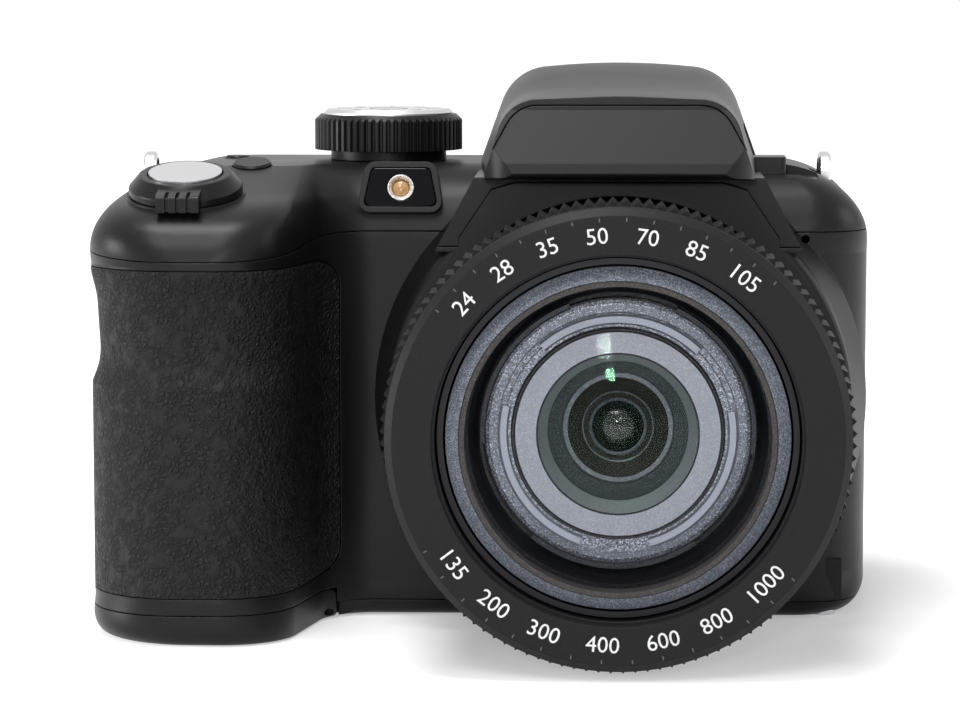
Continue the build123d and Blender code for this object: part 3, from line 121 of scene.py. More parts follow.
# %% Bump, edges and spreads
def emboss(material, height, depth):
    """Bump from a texture's value, whose full range is the given depth in millimetres."""
    tree = material.node_tree
    shader = tree.nodes["Principled BSDF"]
    bump = tree.nodes.new("ShaderNodeBump")
    bump.inputs["Strength"].default_value = 1.0
    bump.inputs["Distance"].default_value = depth * mm
    tree.links.new(height, bump.inputs["Height"])
    if shader.inputs["Normal"].is_linked:
        tree.links.new(shader.inputs["Normal"].links[0].from_socket, bump.inputs["Normal"])
    tree.links.new(bump.outputs["Normal"], shader.inputs["Normal"])


def broken_edges(material, radius):
    """Shade sharp edges as if they had a small radius, as every moulding has."""
    tree = material.node_tree
    edge = tree.nodes.new("ShaderNodeBevel")
    edge.samples = 4
    edge.inputs["Radius"].default_value = radius * mm
    tree.links.new(edge.outputs["Normal"], tree.nodes["Principled BSDF"].inputs["Normal"])


def vary(material, socket, value, low, high, low_at=0.3, high_at=0.7):
    """Spread a socket between two values as a texture goes from low to high."""
    tree = material.node_tree
    spread = tree.nodes.new("ShaderNodeMapRange")
    spread.inputs["From Min"].default_value = low_at
    spread.inputs["From Max"].default_value = high_at
    spread.inputs["To Min"].default_value = low
    spread.inputs["To Max"].default_value = high
    tree.links.new(value, spread.inputs["Value"])
    tree.links.new(spread.outputs["Result"], tree.nodes["Principled BSDF"].inputs[socket])


def ramp(tree, value, stops, smooth=True):
    """Colours along a value, from stops of position and colour."""
    node = tree.nodes.new("ShaderNodeValToRGB")
    node.color_ramp.interpolation = "LINEAR" if smooth else "CONSTANT"
    elements = node.color_ramp.elements
    while len(elements) < len(stops):
        elements.new(0.5)
    for element, (position, colour) in zip(elements, stops):
        element.position = position
        element.color = (*colour, 1.0)
    tree.links.new(value, node.inputs["Fac"])
    return node.outputs["Color"]


def tint(material, value, dark, light, low_at=0.35, high_at=0.65):
    """Spread the base colour between two colours as a texture goes from low to high."""
    tree = material.node_tree
    colour = ramp(tree, value, [(low_at, dark), (high_at, light)])
    tree.links.new(colour, tree.nodes["Principled BSDF"].inputs["Base Color"])


print("helpers: emboss, broken_edges, vary, ramp, tint")

# %% [markdown]
# ## Black body plastic
#
# The covers are moulded in a tool whose walls are spark-eroded, so the plastic has a very fine even grain
# and a satin sheen. A displaced mesh would need millions of faces for it. A bump of a few hundredths of a
# millimetre gives the same look, and a slow change of roughness stands for handling. Real mouldings have
# no knife edges, so the shader rounds each edge by a quarter of a millimetre.

# %% Body plastic
def body_plastic(name, colour, roughness, grain, depth, specular=0.19, edge=0.25):
    """Satin plastic: grain, depth and edge in millimetres, and a slow change that stands for handling."""
    handling = 22.0
    material = finish(name, colour, roughness, specular=specular)
    broken_edges(material, edge)
    fine = grain_noise(material, grain, detail=2.0)
    emboss(material, fine, depth)
    handled = grain_noise(material, handling, detail=2.0)
    vary(material, "Roughness", handled, roughness - 0.03, roughness + 0.04)
    tint(material, fine, scaled(colour, 0.7), scaled(colour, 1.3))
    return material


shell_plastic = body_plastic("satin_black_shell", (0.0052, 0.0052, 0.0055), 0.38, 0.16, 0.012)
button_plastic = body_plastic("button_black", (0.0045, 0.0045, 0.0048), 0.33, 0.12, 0.006, edge=0.15)
ring_plastic = body_plastic("lens_ring_black", (0.0078, 0.0078, 0.0082), 0.5, 0.22, 0.022, specular=0.15)
tube_plastic = body_plastic("lens_tube_black", (0.004, 0.004, 0.0042), 0.42, 0.16, 0.010)
print("made", [m.name for m in (shell_plastic, button_plastic, ring_plastic, tube_plastic)])

# %% [markdown]
# ## Grip rubber
#
# The grip skin is moulded rubber with a leather grain: raised pebbles of about half a millimetre, parted by
# short creases that wander. Plain Voronoi cells look like tiles, so the coordinates are bent by noise before
# the cells are drawn, a second slower noise fades the creases in and out, and a finer one roughens the top
# of each pebble.

# %% Grip rubber
def grip_leather(name, colour, pebble, depth):
    """Pebbled rubber, from the size of a pebble and the depth of a crease in millimetres."""
    material = finish(name, colour, 0.5, specular=0.21)
    tree = material.node_tree
    wander = tree.nodes.new("ShaderNodeTexNoise")
    wander.inputs["Scale"].default_value = 1 / (pebble * 1.4 * mm)
    wander.inputs["Detail"].default_value = 3.0
    tree.links.new(own_place(tree), wander.inputs["Vector"])
    bend = tree.nodes.new("ShaderNodeVectorMath")
    bend.operation = "MULTIPLY_ADD"
    bend.inputs[1].default_value = (pebble * 1.5 * mm,) * 3
    tree.links.new(wander.outputs["Color"], bend.inputs[0])
    tree.links.new(own_place(tree), bend.inputs[2])
    cells = tree.nodes.new("ShaderNodeTexVoronoi")
    cells.feature = "DISTANCE_TO_EDGE"
    cells.inputs["Scale"].default_value = 1 / (pebble * mm)
    tree.links.new(bend.outputs["Vector"], cells.inputs["Vector"])
    crown = tree.nodes.new("ShaderNodeMapRange")
    crown.interpolation_type = "SMOOTHERSTEP"
    crown.inputs["From Max"].default_value = 0.35
    tree.links.new(cells.outputs["Distance"], crown.inputs["Value"])
    soft = tree.nodes.new("ShaderNodeMapRange")
    soft.inputs["From Min"].default_value = 0.46
    soft.inputs["From Max"].default_value = 0.72
    tree.links.new(grain_noise(material, pebble * 2.6, detail=1.0), soft.inputs["Value"])
    fade = tree.nodes.new("ShaderNodeMath")
    fade.operation = "MAXIMUM"
    tree.links.new(crown.outputs["Result"], fade.inputs[0])
    tree.links.new(soft.outputs["Result"], fade.inputs[1])
    emboss(material, grain_noise(material, pebble * 0.45, detail=3.0), depth * 0.8)
    emboss(material, fade.outputs["Value"], depth)
    vary(material, "Roughness", fade.outputs["Value"], 0.66, 0.46, 0.0, 1.0)
    # The tint paints the creases darker and the pebble tops lighter: painted shade in the creases and a
    # painted highlight on the tops.
    tint(material, fade.outputs["Value"], scaled(colour, 0.5), scaled(colour, 1.15), 0.0, 1.0)
    return material


grip_rubber_finish = grip_leather("grip_leather_rubber", (0.0052, 0.0052, 0.0056), 0.84, 0.20)
print("made", grip_rubber_finish.name)

# %% [markdown]
# ## Metals and paint
#
# The shutter button, the dial's cap and the strap lugs are plated, the barrels are anodised black, and the
# ring in front of the lens is a blue-grey metallic paint with a sparkle. The sparkle could come from a
# picture. Here tiny cells get their own brightness, which holds at any distance.

# %% Plated and anodised pieces
def plated(name, colour, roughness):
    """A metal with the faint brushed grain that plating and anodising leave, a few microns deep."""
    grain, depth = 0.25, 0.002
    material = finish(name, colour, roughness, metallic=1.0)
    fine = grain_noise(material, grain)
    emboss(material, fine, depth)
    vary(material, "Roughness", fine, roughness * 0.85, roughness * 1.2)
    return material


silver_plate = plated("satin_silver_plate", (0.60, 0.60, 0.61), 0.34)
lug_plate = plated("polished_lug", (0.62, 0.62, 0.63), 0.22)
steel = plated("plain_steel", (0.52, 0.52, 0.54), 0.36)
bright_strip = plated("bright_side_strip", (0.55, 0.56, 0.57), 0.36)
anodised_black = plated("anodised_black", (0.02, 0.02, 0.022), 0.38)
reflector_silver = plated("flash_reflector", (0.88, 0.88, 0.9), 0.12)
metals = (silver_plate, lug_plate, steel, bright_strip, anodised_black, reflector_silver)
print("made", [metal.name for metal in metals])

# %% [markdown]
# ## Rings in bands
#
# The rings inside the lens are turned from one piece and painted in bands: a bare satin flat, a granular
# bevel, a black step. A material for each band would mean cutting the solid. Instead one material measures
# how far a point lies from the lens axis and picks the band's colour by that radius.

# %% A finish by radius
def banded(name, bands, roughness, metallic, flake=0.14, sparkle=0.5, specular=0.4, depth=0.008):
    """Colours by radius, from pairs of an inner radius in millimetres and the colour from there outward."""
    reach = 26.0
    material = finish(name, bands[0][1], roughness, metallic=metallic, specular=specular)
    tree = material.node_tree
    centre = tree.nodes.new("ShaderNodeVectorMath")
    centre.operation = "SUBTRACT"
    centre.inputs[1].default_value = (0.0, 0.0, lens_height * mm)
    tree.links.new(own_place(tree), centre.inputs[0])
    flat = tree.nodes.new("ShaderNodeVectorMath")
    flat.operation = "MULTIPLY"
    flat.inputs[1].default_value = (1 / (reach * mm), 0.0, 1 / (reach * mm))
    tree.links.new(centre.outputs["Vector"], flat.inputs[0])
    radius = tree.nodes.new("ShaderNodeVectorMath")
    radius.operation = "LENGTH"
    tree.links.new(flat.outputs["Vector"], radius.inputs[0])
    stops = [(inner / reach, colour) for inner, colour in bands]
    plain = ramp(tree, radius.outputs["Value"], stops, smooth=False)
    cells = flake_noise(material, flake)
    glint = ramp(tree, cells, [(0.0, (1 - sparkle,) * 3), (0.7, (1.0,) * 3), (1.0, (1 + sparkle * 2.2,) * 3)])
    mixed = tree.nodes.new("ShaderNodeMix")
    mixed.data_type = "RGBA"
    mixed.blend_type = "MULTIPLY"
    mixed.inputs["Factor"].default_value = 1.0
    tree.links.new(plain, mixed.inputs["A"])
    tree.links.new(glint, mixed.inputs["B"])
    tree.links.new(mixed.outputs["Result"], tree.nodes["Principled BSDF"].inputs["Base Color"])
    emboss(material, cells, depth)
    return material


print("helper: banded")

# %% Painted rings
black_step = (0.004, 0.004, 0.0045)
rim_paint = banded("blue_grey_rim", [(0.0, (0.035, 0.031, 0.03)), (22.45, (0.30, 0.33, 0.395))], 0.45, 0.3,
                   flake=0.13, sparkle=0.55, depth=0.012)
funnel_paint = banded("funnel_bands", [
    (0.0, black_step),
    (15.25, (0.24, 0.26, 0.31)),
    (17.25, (0.38, 0.41, 0.49)),
    (18.4, (0.15, 0.16, 0.195)),
    (18.9, (0.020, 0.021, 0.025)),
    (20.3, (0.013, 0.013, 0.016)),
], 0.42, 0.3, flake=0.15, sparkle=0.75, specular=0.25)
second_paint = banded("second_frame_bands", [
    (0.0, black_step),
    (9.9, (0.24, 0.25, 0.28)),
    # The thin dark band from 11.42 mm is painted shade at the edge of the bevel.
    (11.42, (0.01, 0.01, 0.012)),
    (11.62, (0.24, 0.255, 0.30)),
    (14.55, (0.03, 0.026, 0.024)),
], 0.40, 0.3, flake=0.13, sparkle=0.14, specular=0.3, depth=0.004)
third_paint = banded("third_frame_bands", [
    (0.0, (0.012, 0.009, 0.0095)),
    (7.25, (0.17, 0.18, 0.21)),
    (7.9, (0.042, 0.044, 0.052)),
], 0.5, 0.2, flake=0.2, sparkle=0.25, specular=0.12)
print("made", [m.name for m in (rim_paint, funnel_paint, second_paint, third_paint)])

# %% [markdown]
# ## Coated glass
#
# Coated lens glass lets nearly all the light through and sends back a faint green or violet. True
# refraction would darken the rings inside, because their light has to find its way out through it. The
# rings already stand where they are seen from the front, so the glass here passes light straight through
# and only adds a reflection that grows towards grazing angles. The smallest lens has nothing bright behind
# it, so it is a dark gloss that shows the lamps as points.

# %% Coated glass
def coated_glass(name, glow, index, tinge=(1.0, 1.0, 1.0)):
    """Clear glass whose reflection has the coating's glow, and whose tinge is what it lets through."""
    material = bpy.data.materials.new(name)
    material.use_nodes = True
    tree = material.node_tree
    tree.nodes.remove(tree.nodes["Principled BSDF"])
    clear = tree.nodes.new("ShaderNodeBsdfTransparent")
    clear.inputs["Color"].default_value = (*tinge, 1.0)
    shine = tree.nodes.new("ShaderNodeBsdfGlossy")
    shine.inputs["Color"].default_value = (*glow, 1.0)
    shine.inputs["Roughness"].default_value = 0.02
    edge = tree.nodes.new("ShaderNodeFresnel")
    edge.inputs["IOR"].default_value = index
    mix = tree.nodes.new("ShaderNodeMixShader")
    tree.links.new(edge.outputs["Fac"], mix.inputs["Fac"])
    tree.links.new(clear.outputs["BSDF"], mix.inputs[1])
    tree.links.new(shine.outputs["BSDF"], mix.inputs[2])
    tree.links.new(mix.outputs["Shader"], tree.nodes["Material Output"].inputs["Surface"])
    return material


def smooth_finish(name, colour, roughness, grain=3.0, change=0.04, specular=0.5):
    """A plain smooth finish whose roughness and colour wander a little."""
    material = finish(name, colour, roughness, specular=specular)
    slow = grain_noise(material, grain)
    vary(material, "Roughness", slow, max(roughness - change, 0.02), roughness + change)
    tint(material, slow, scaled(colour, 0.9), scaled(colour, 1.1))
    return material


front_glass = coated_glass("front_lens_coating", (0.75, 0.9, 0.8), 1.08)
inner_glass = coated_glass("inner_lens_coating", (0.45, 1.0, 0.6), 1.11, (0.97, 0.98, 0.98))
small_glass = smooth_finish("small_lens_gloss", (0.004, 0.004, 0.005), 0.04, change=0.01, specular=0.45)
flash_clear = coated_glass("flash_window_clear", (1.0, 1.0, 1.0), 1.45, (0.9, 0.92, 0.92))
screen_glass = coated_glass("screen_smoked_glass", (1.0, 1.0, 1.0), 1.45, (0.16, 0.16, 0.17))
print("made", [m.name for m in (front_glass, inner_glass, small_glass, flash_clear, screen_glass)])

# %% [markdown]
# ## The other finishes
#
# Boards, the screen, the sensor and the battery are out of sight until something opens. They still get
# their own finish, because someone will turn the model over or take it apart.

# %% Screens, boards and cells
window_black = smooth_finish("window_gloss_black", (0.002, 0.002, 0.003), 0.06, change=0.01, specular=0.12)
panel_grey = smooth_finish("screen_panel_grey", (0.035, 0.037, 0.045), 0.2, change=0.02)
board_green = smooth_finish("board_green", (0.01, 0.09, 0.035), 0.4)
cell_film = smooth_finish("cell_film_grey", (0.05, 0.05, 0.055), 0.35)
sensor_blue = smooth_finish("sensor_cover", (0.015, 0.02, 0.045), 0.08, change=0.01)
lamp_amber = smooth_finish("lamp_amber", (0.42, 0.23, 0.09), 0.15, grain=0.5)
white_print = smooth_finish("white_print", (0.78, 0.78, 0.78), 0.5)
grey_print = smooth_finish("grey_print", (0.09, 0.09, 0.095), 0.45)
red_print = smooth_finish("red_print", (0.45, 0.02, 0.02), 0.4)
painted_shade_black = smooth_finish("painted_shade_black", (0.004, 0.004, 0.004), 0.6, specular=0.2)
arc_satin = banded("bayonet_satin", [(0.0, (0.25, 0.27, 0.325))], 0.34, 0.4, sparkle=0.05, depth=0.001)
arc_shade = banded("outer_arc_grey", [(0.0, (0.03, 0.033, 0.04))], 0.4, 0.2, sparkle=0.4, specular=0.2,
                   depth=0.002)
lamp_bezel = banded("lamp_bezel_grain", [(0.0, (0.13, 0.14, 0.165))], 0.35, 0.6, flake=0.12, sparkle=0.6)
print("made", [m.name for m in (window_black, panel_grey, board_green, cell_film, sensor_blue, lamp_amber)])
print("made", [m.name for m in (white_print, grey_print, red_print, painted_shade_black)])
print("made", [m.name for m in (arc_satin, arc_shade, lamp_bezel)])

# %% [markdown]
# ## Dress the solids
#
# A solid keeps its mesh and gets a material in its slot. The list goes by finish, not by piece, so that one
# look at it shows which pieces share a tool or a bath.

# %% Dress the solids
dressing = {
    shell_plastic: ["front_cover", "rear_cover", "top_cover", "base_cover", "flash_lid", "battery_door",
                    "port_cover"],
    grip_rubber_finish: ["grip_rubber", "thumb_rubber"],
    button_plastic: ["mode_dial", "zoom_lever", "power_button", "top_button", "release_button",
                     "record_button", "playback_button", "menu_button", "delete_button", "four_way_pad",
                     "set_button", "door_latch", "battery_holder", "dial_switch"],
    ring_plastic: ["lens_ring"],
    tube_plastic: ["lens_tube"],
    anodised_black: ["outer_barrel", "inner_barrel"],
    rim_paint: ["rim_ring"],
    funnel_paint: ["lens_funnel"],
    second_paint: ["second_frame"],
    third_paint: ["third_frame"],
    silver_plate: ["shutter_button", "dial_cap"],
    lug_plate: ["strap_lug_left", "strap_lug_right"],
    bright_strip: ["side_trim"],
    steel: ["chassis", "tripod_socket", "zoom_motor", "card_slot", "usb_socket", "cover_screws", "flash_pin",
            "door_pin"],
    front_glass: ["front_lens"],
    inner_glass: ["second_lens", "rear_lens"],
    small_glass: ["third_lens"],
    flash_clear: ["flash_window", "flash_tube"],
    window_black: ["af_window"],
    screen_glass: ["lcd_window"],
    panel_grey: ["lcd_panel"],
    board_green: ["main_board", "sensor_plate"],
    cell_film: ["battery", "flash_capacitor"],
    sensor_blue: ["image_sensor"],
    lamp_amber: ["af_lamp"],
    reflector_silver: ["flash_reflector"],
}
for material, names in dressing.items():
    for name in names:
        piece = nodes[name]
        piece.data.materials.clear()
        piece.data.materials.append(material)
undressed = sorted(set(nodes) - {name for names in dressing.values() for name in names})
print("solids dressed:", sum(len(names) for names in dressing.values()), "left:", undressed)

# %% [markdown]
# ## A lathe for small rings
#
# Most of the detail behind the front lens is turned. A torus or a flattened cylinder would give a ring, but
# not its steps and its bevel. So a closed profile of radius and depth is carried round the lens axis. A full
# turn gives a ring, and part of a turn gives an arc with flat ends.

# %% Turned rings and arcs
def new_piece(name, mesh, body, material, sharp_above=35.0):
    """Put a mesh on a body, with its finish."""
    mesh.materials.clear()
    mesh.materials.append(material)
    mesh.shade_smooth()
    mesh.set_sharp_from_angle(angle=math.radians(sharp_above))
    piece = bpy.data.objects.new(name, mesh)
    bpy.context.scene.collection.objects.link(piece)
    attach(piece, body)
    return piece


def turned(name, profile, body, material, start=0.0, sweep=360.0, steps=144):
    """A ring or an arc about the lens axis, from a closed profile of radius and forward distance."""
    whole = sweep >= 360.0
    stations = steps if whole else max(int(steps * sweep / 360.0), 2) + 1
    shape = bmesh.new()
    loops = []
    for station in range(stations):
        turn = math.radians(start + sweep * station / (stations if whole else stations - 1))
        loops.append([
            shape.verts.new((radius * math.cos(turn) * mm, -forward * mm,
                             (lens_height + radius * math.sin(turn)) * mm))
            for radius, forward in profile
        ])
    count = len(profile)
    for station in range(stations if whole else stations - 1):
        here, there = loops[station], loops[(station + 1) % stations]
        for corner in range(count):
            after = (corner + 1) % count
            shape.faces.new((here[corner], here[after], there[after], there[corner]))
    if not whole:
        shape.faces.new(loops[0])
        shape.faces.new(list(reversed(loops[-1])))
    bmesh.ops.recalc_face_normals(shape, faces=shape.faces)
    mesh = bpy.data.meshes.new(name)
    shape.to_mesh(mesh)
    shape.free()
    return new_piece(name, mesh, body, material)


print("helpers: new_piece, turned")

# %% [markdown]
# ## Rings behind the front lens
#
# Behind the front lens lie a dark stepped wall, a thread, a ring with smooth and granular arcs in turn, and
# the flat ring of the second group with a thin retaining ring round it. The solids hold the steps. The
# arcs, the thread and the thin rings are added here as turned pieces, because each is a separate part or a
# cut of a few tenths of a millimetre. One thin black ring at the edge of the second group's bevel is
# painted shade, the shadow along that edge.

# %% Arcs and thread inside the lens
def three_arcs(name, profile, material, first_centre, half_angle):
    """Three equal arcs, a third of a turn apart, from the first one's centre in degrees."""
    for index in range(3):
        start = first_centre + 120.0 * index - half_angle
        turned(f"{name}_{index + 1}", profile, "inner_barrel", material, start, 2 * half_angle)


arc_profile = [(15.7, 59.5), (15.7, 60.35), (15.95, 60.62), (16.85, 60.62), (17.1, 60.4), (17.1, 59.2)]
three_arcs("bayonet_arc", arc_profile, arc_satin, 88.7, 42.5)
outer_arc_profile = [(18.95, 58.1), (18.95, 58.95), (19.15, 59.15), (19.75, 59.15), (19.9, 58.9),
                     (19.9, 57.1)]
three_arcs("outer_arc", outer_arc_profile, arc_shade, 28.0, 37.0)
thread_radius, thread_pitch, thread_width = 17.3, 0.27, 0.09
for turn in range(4):
    low = thread_radius + turn * thread_pitch
    high = low + thread_width
    turned(f"thread_line_{turn + 1}", [(low, 58.3), (low, 58.92), (high, 58.92), (high, 58.3)],
           "inner_barrel", arc_satin)
retaining_profile = [(14.78, 59.6), (14.78, 61.0), (14.9, 61.15), (15.05, 61.15), (15.12, 61.0),
                     (15.12, 59.6)]
turned("retaining_ring", retaining_profile, "inner_barrel", third_paint)
print("arcs, thread lines and retaining ring made")

# %% Thin rings round the small lenses
turned("cone_edge_line", [(5.0, 52.3), (5.0, 52.62), (5.1, 52.68), (5.2, 52.62), (5.2, 52.3)], "inner_barrel",
       lamp_bezel, steps=96)
turned("eye_ring", [(3.78, 52.0), (3.78, 52.72), (3.95, 52.85), (4.15, 52.72), (4.15, 52.0)], "inner_barrel",
       lamp_bezel, steps=96)
# A thin black ring at the edge of the bevel is painted shade: the shadow along that edge.
turned("bevel_shadow_line", [(11.44, 60.9), (11.44, 61.22), (11.54, 61.22), (11.54, 60.9)], "inner_barrel",
       painted_shade_black)
print("thin rings made")

# %% [markdown]
# ## Plates cut from a curve
#
# A window or a mask is a flat plate with rounded corners and a fine broken edge. It could be a scaled cube
# with a hole cut by a boolean. A filled curve is cleaner: its first outline is the plate, every later one is
# a hole, and its bevel breaks all the edges alike. The plate is then laid on a plane that lies on the face.

# %% Outlines, planes and pierced plates
def face_at(origin, right, up):
    """A drawing plane on a face: its origin in millimetres, and which way its right and up point."""
    right, up = Vector(right).normalized(), Vector(up).normalized()
    plane = Matrix((right, up, right.cross(up))).transposed().to_4x4()
    plane.translation = Vector(origin) * mm
    return plane


def curve_plate(name, outlines, thickness, edge, fineness=2):
    """A flat plate with bevelled edges from a filled curve. Outlines after the first cut holes."""
    curve = bpy.data.curves.new(name, "CURVE")
    curve.dimensions = "2D"
    curve.fill_mode = "BOTH"
    curve.extrude = (thickness / 2 - edge) * mm
    curve.bevel_depth = edge * mm
    curve.bevel_resolution = fineness
    curve.offset = -edge * mm
    for outline in outlines:
        spline = curve.splines.new("POLY")
        spline.points.add(len(outline) - 1)
        for point, (x, y) in zip(spline.points, outline):
            point.co = (x * mm, y * mm, 0.0, 1.0)
        spline.use_cyclic_u = True
    pattern = bpy.data.objects.new(name + "_pattern", curve)
    mesh = bpy.data.meshes.new_from_object(pattern)
    bpy.data.objects.remove(pattern)
    bpy.data.curves.remove(curve)
    return mesh


def circle(radius, steps=48):
    """An outline of points round the plane's origin."""
    return [(radius * math.cos(2 * math.pi * step / steps), radius * math.sin(2 * math.pi * step / steps))
            for step in range(steps)]


def rounded(points, radius, steps=6):
    """An outline of anticlockwise corners with each corner rounded by an arc."""
    outline = []
    count = len(points)
    for index in range(count):
        corner = Vector(points[index])
        before = (Vector(points[index - 1]) - corner).normalized()
        after = (Vector(points[(index + 1) % count]) - corner).normalized()
        half = math.acos(max(min(before.dot(after), 1.0), -1.0)) / 2
        centre = corner + (before + after).normalized() * (radius / math.sin(half))
        first = corner + before * (radius / math.tan(half)) - centre
        last = corner + after * (radius / math.tan(half)) - centre
        turn = first.angle_signed(last)
        for step in range(steps + 1):
            share = -turn * step / steps
            outline.append((centre.x + first.x * math.cos(share) - first.y * math.sin(share),
                            centre.y + first.x * math.sin(share) + first.y * math.cos(share)))
    return outline


print("helpers: face_at, curve_plate, circle, rounded")

# %% [markdown]
# ## The focus window
#
# Left of the hump sits a black glossy window with a round lamp behind a hole in its mask. A glass pane over
# a lamp would be true, but its reflection hides the lamp. So the mask is cut from a filled curve with a hole
# and a fine bevel, and the lamp's bezel and its amber dome show in the hole.

# %% Focus window
lamp_lean = math.radians(16.0)
window_plane = face_at((-33.6, -19.3, 66.9), (1, 0, 0), (0, math.sin(lamp_lean), math.cos(lamp_lean)))
window_rim = 0.97
window_low, window_high, window_half = 6.7 - window_rim, 5.45 - window_rim, 4.0 - window_rim
window_corners = [(-window_low, -window_half), (window_low, -window_half), (window_high, window_half),
                  (-window_high, window_half)]
mask_thickness, mask_sunk = 1.25, 0.02
mask = curve_plate("focus_window", [rounded(window_corners, 0.95), circle(2.05)], mask_thickness, 0.2)
mask.transform(window_plane @ Matrix.Translation((0, 0, (-mask_thickness / 2 - mask_sunk) * mm)))
focus_window = new_piece("focus_window", mask, "camera_body", window_black)
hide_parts("af_window")


def about_lamp(name, profile, material, steps=48):
    """A turned piece on the lamp's own axis, from a closed profile of radius and height."""
    shape = bmesh.new()
    loops = []
    for step in range(steps):
        turn = 2 * math.pi * step / steps
        across, up = math.cos(turn) * mm, math.sin(turn) * mm
        loops.append([shape.verts.new(window_plane @ Vector((radius * across, radius * up, height * mm)))
                      for radius, height in profile])
    for step in range(steps):
        here, there = loops[step], loops[(step + 1) % steps]
        for corner in range(len(profile)):
            after = (corner + 1) % len(profile)
            shape.faces.new((here[corner], here[after], there[after], there[corner]))
    bmesh.ops.remove_doubles(shape, verts=shape.verts, dist=1e-6)
    bmesh.ops.recalc_face_normals(shape, faces=shape.faces)
    mesh = bpy.data.meshes.new(name)
    shape.to_mesh(mesh)
    shape.free()
    return new_piece(name, mesh, "camera_body", material, sharp_above=50.0)


bezel_profile = [(2.0, -1.2), (2.0, -0.25), (1.85, -0.2), (1.38, -0.75), (1.38, -1.2)]
about_lamp("lamp_bezel", bezel_profile, lamp_bezel)
dome_radius, dome_foot, dome_rise = 1.3, -1.15, 0.75
dome = [(dome_radius * math.cos(math.radians(turn)), dome_foot + dome_rise * math.sin(math.radians(turn)))
        for turn in range(0, 85, 12)]
about_lamp("lamp_dome", [(0.0, -1.3), (dome_radius, -1.3)] + dome + [(0.0, -0.4)], lamp_amber)
print("focus window, bezel and dome made")

# %% [markdown]
# ## Printing
#
# Print on a camera is a film of paint a few hundredths of a millimetre thick. It could be drawn by a shader,
# but thin raised shapes stay sharp when the view comes close. Text objects give the figures, and outlines
# with a lid and a wall give the other marks. All figures of one scale are gathered into one piece.

# %% Figures and stamped marks
def digits(text, height, thickness=0.04):
    """A mesh of plain figures, centred on its own origin, of the given height in millimetres."""
    size_per_height = 1.38
    letters = bpy.data.curves.new("figures", "FONT")
    letters.body = text
    letters.size = height * size_per_height * mm
    letters.align_x = "CENTER"
    letters.align_y = "CENTER"
    letters.extrude = thickness / 2 * mm
    letters.resolution_u = 3
    pattern = bpy.data.objects.new("figures", letters)
    mesh = bpy.data.meshes.new_from_object(pattern)
    bpy.data.objects.remove(pattern)
    bpy.data.curves.remove(letters)
    return mesh


def gathered(name, parts, body, material):
    """One piece from meshes and the matrices that place them."""
    shape = bmesh.new()
    for mesh, place in parts:
        mesh.transform(place)
        shape.from_mesh(mesh)
        bpy.data.meshes.remove(mesh)
    whole = bpy.data.meshes.new(name)
    shape.to_mesh(whole)
    shape.free()
    return new_piece(name, whole, body, material)


def stamped(name, plane, outlines, body, material, proud=0.02, sunk=0.02):
    """Thin raised shapes on a face, from outlines in millimetres that run anticlockwise."""
    shape = bmesh.new()
    for outline in outlines:
        low = [shape.verts.new(plane @ Vector((x * mm, y * mm, -sunk * mm))) for x, y in outline]
        high = [shape.verts.new(plane @ Vector((x * mm, y * mm, proud * mm))) for x, y in outline]
        shape.faces.new(high)
        shape.faces.new(list(reversed(low)))
        for corner in range(len(outline)):
            after = (corner + 1) % len(outline)
            shape.faces.new((low[corner], low[after], high[after], high[corner]))
    mesh = bpy.data.meshes.new(name)
    shape.to_mesh(mesh)
    shape.free()
    return new_piece(name, mesh, body, material)


print("helpers: digits, gathered, stamped")

# %% [markdown]
# ## Figures on the lens ring and the dial
#
# A zoom lens often shows its focal lengths, and a mode dial its settings. Here the ring gets plain focal
# lengths and the dial plain numbers. Along the foot of the ring the figures stand with their heads to the
# lens, so that they read upright from the front.

# %% Focal lengths round the lens ring
ring_face, print_lift = 70.0, 0.005
figure_radius, figure_height = 28.95, 2.35
ring_figures = []
for text, turn, heads_out in (
    ("24", 138, True), ("28", 124, True), ("35", 110, True), ("50", 96, True), ("70", 82, True),
    ("85", 68, True), ("105", 53, True), ("135", 217, False), ("200", 233, False), ("300", 249, False),
    ("400", 266, False), ("600", 283, False), ("800", 299, False), ("1000", 316, False),
):
    angle = math.radians(turn)
    outward = Vector((math.cos(angle), 0, math.sin(angle)))
    up = outward if heads_out else -outward
    right = Vector((up.z, 0, -up.x))
    centre = Vector((0, -ring_face + print_lift, lens_height)) + outward * figure_radius
    ring_figures.append((digits(text, figure_height), face_at(centre, right, up)))
gathered("ring_figures", ring_figures, "camera_body", white_print)
tick_near, tick_far, tick_half = 31.0, 31.55, 0.08
tick_outlines = []
for turn in list(range(46, 147, 7)) + list(range(210, 325, 8)):
    angle = math.radians(turn)
    outward = (math.cos(angle), math.sin(angle))
    aside = (-outward[1] * tick_half, outward[0] * tick_half)
    tick_outlines.append([
        (outward[0] * reach + hand * aside[0], outward[1] * reach + hand * aside[1])
        for reach, hand in ((tick_near, 1), (tick_near, -1), (tick_far, -1), (tick_far, 1))
    ])
ring_plane = face_at((0, -ring_face, lens_height), (1, 0, 0), (0, 0, 1))
stamped("ring_ticks", ring_plane, tick_outlines, "camera_body", grey_print, proud=0.015)
print("figures:", len(ring_figures), "ticks:", len(tick_outlines))

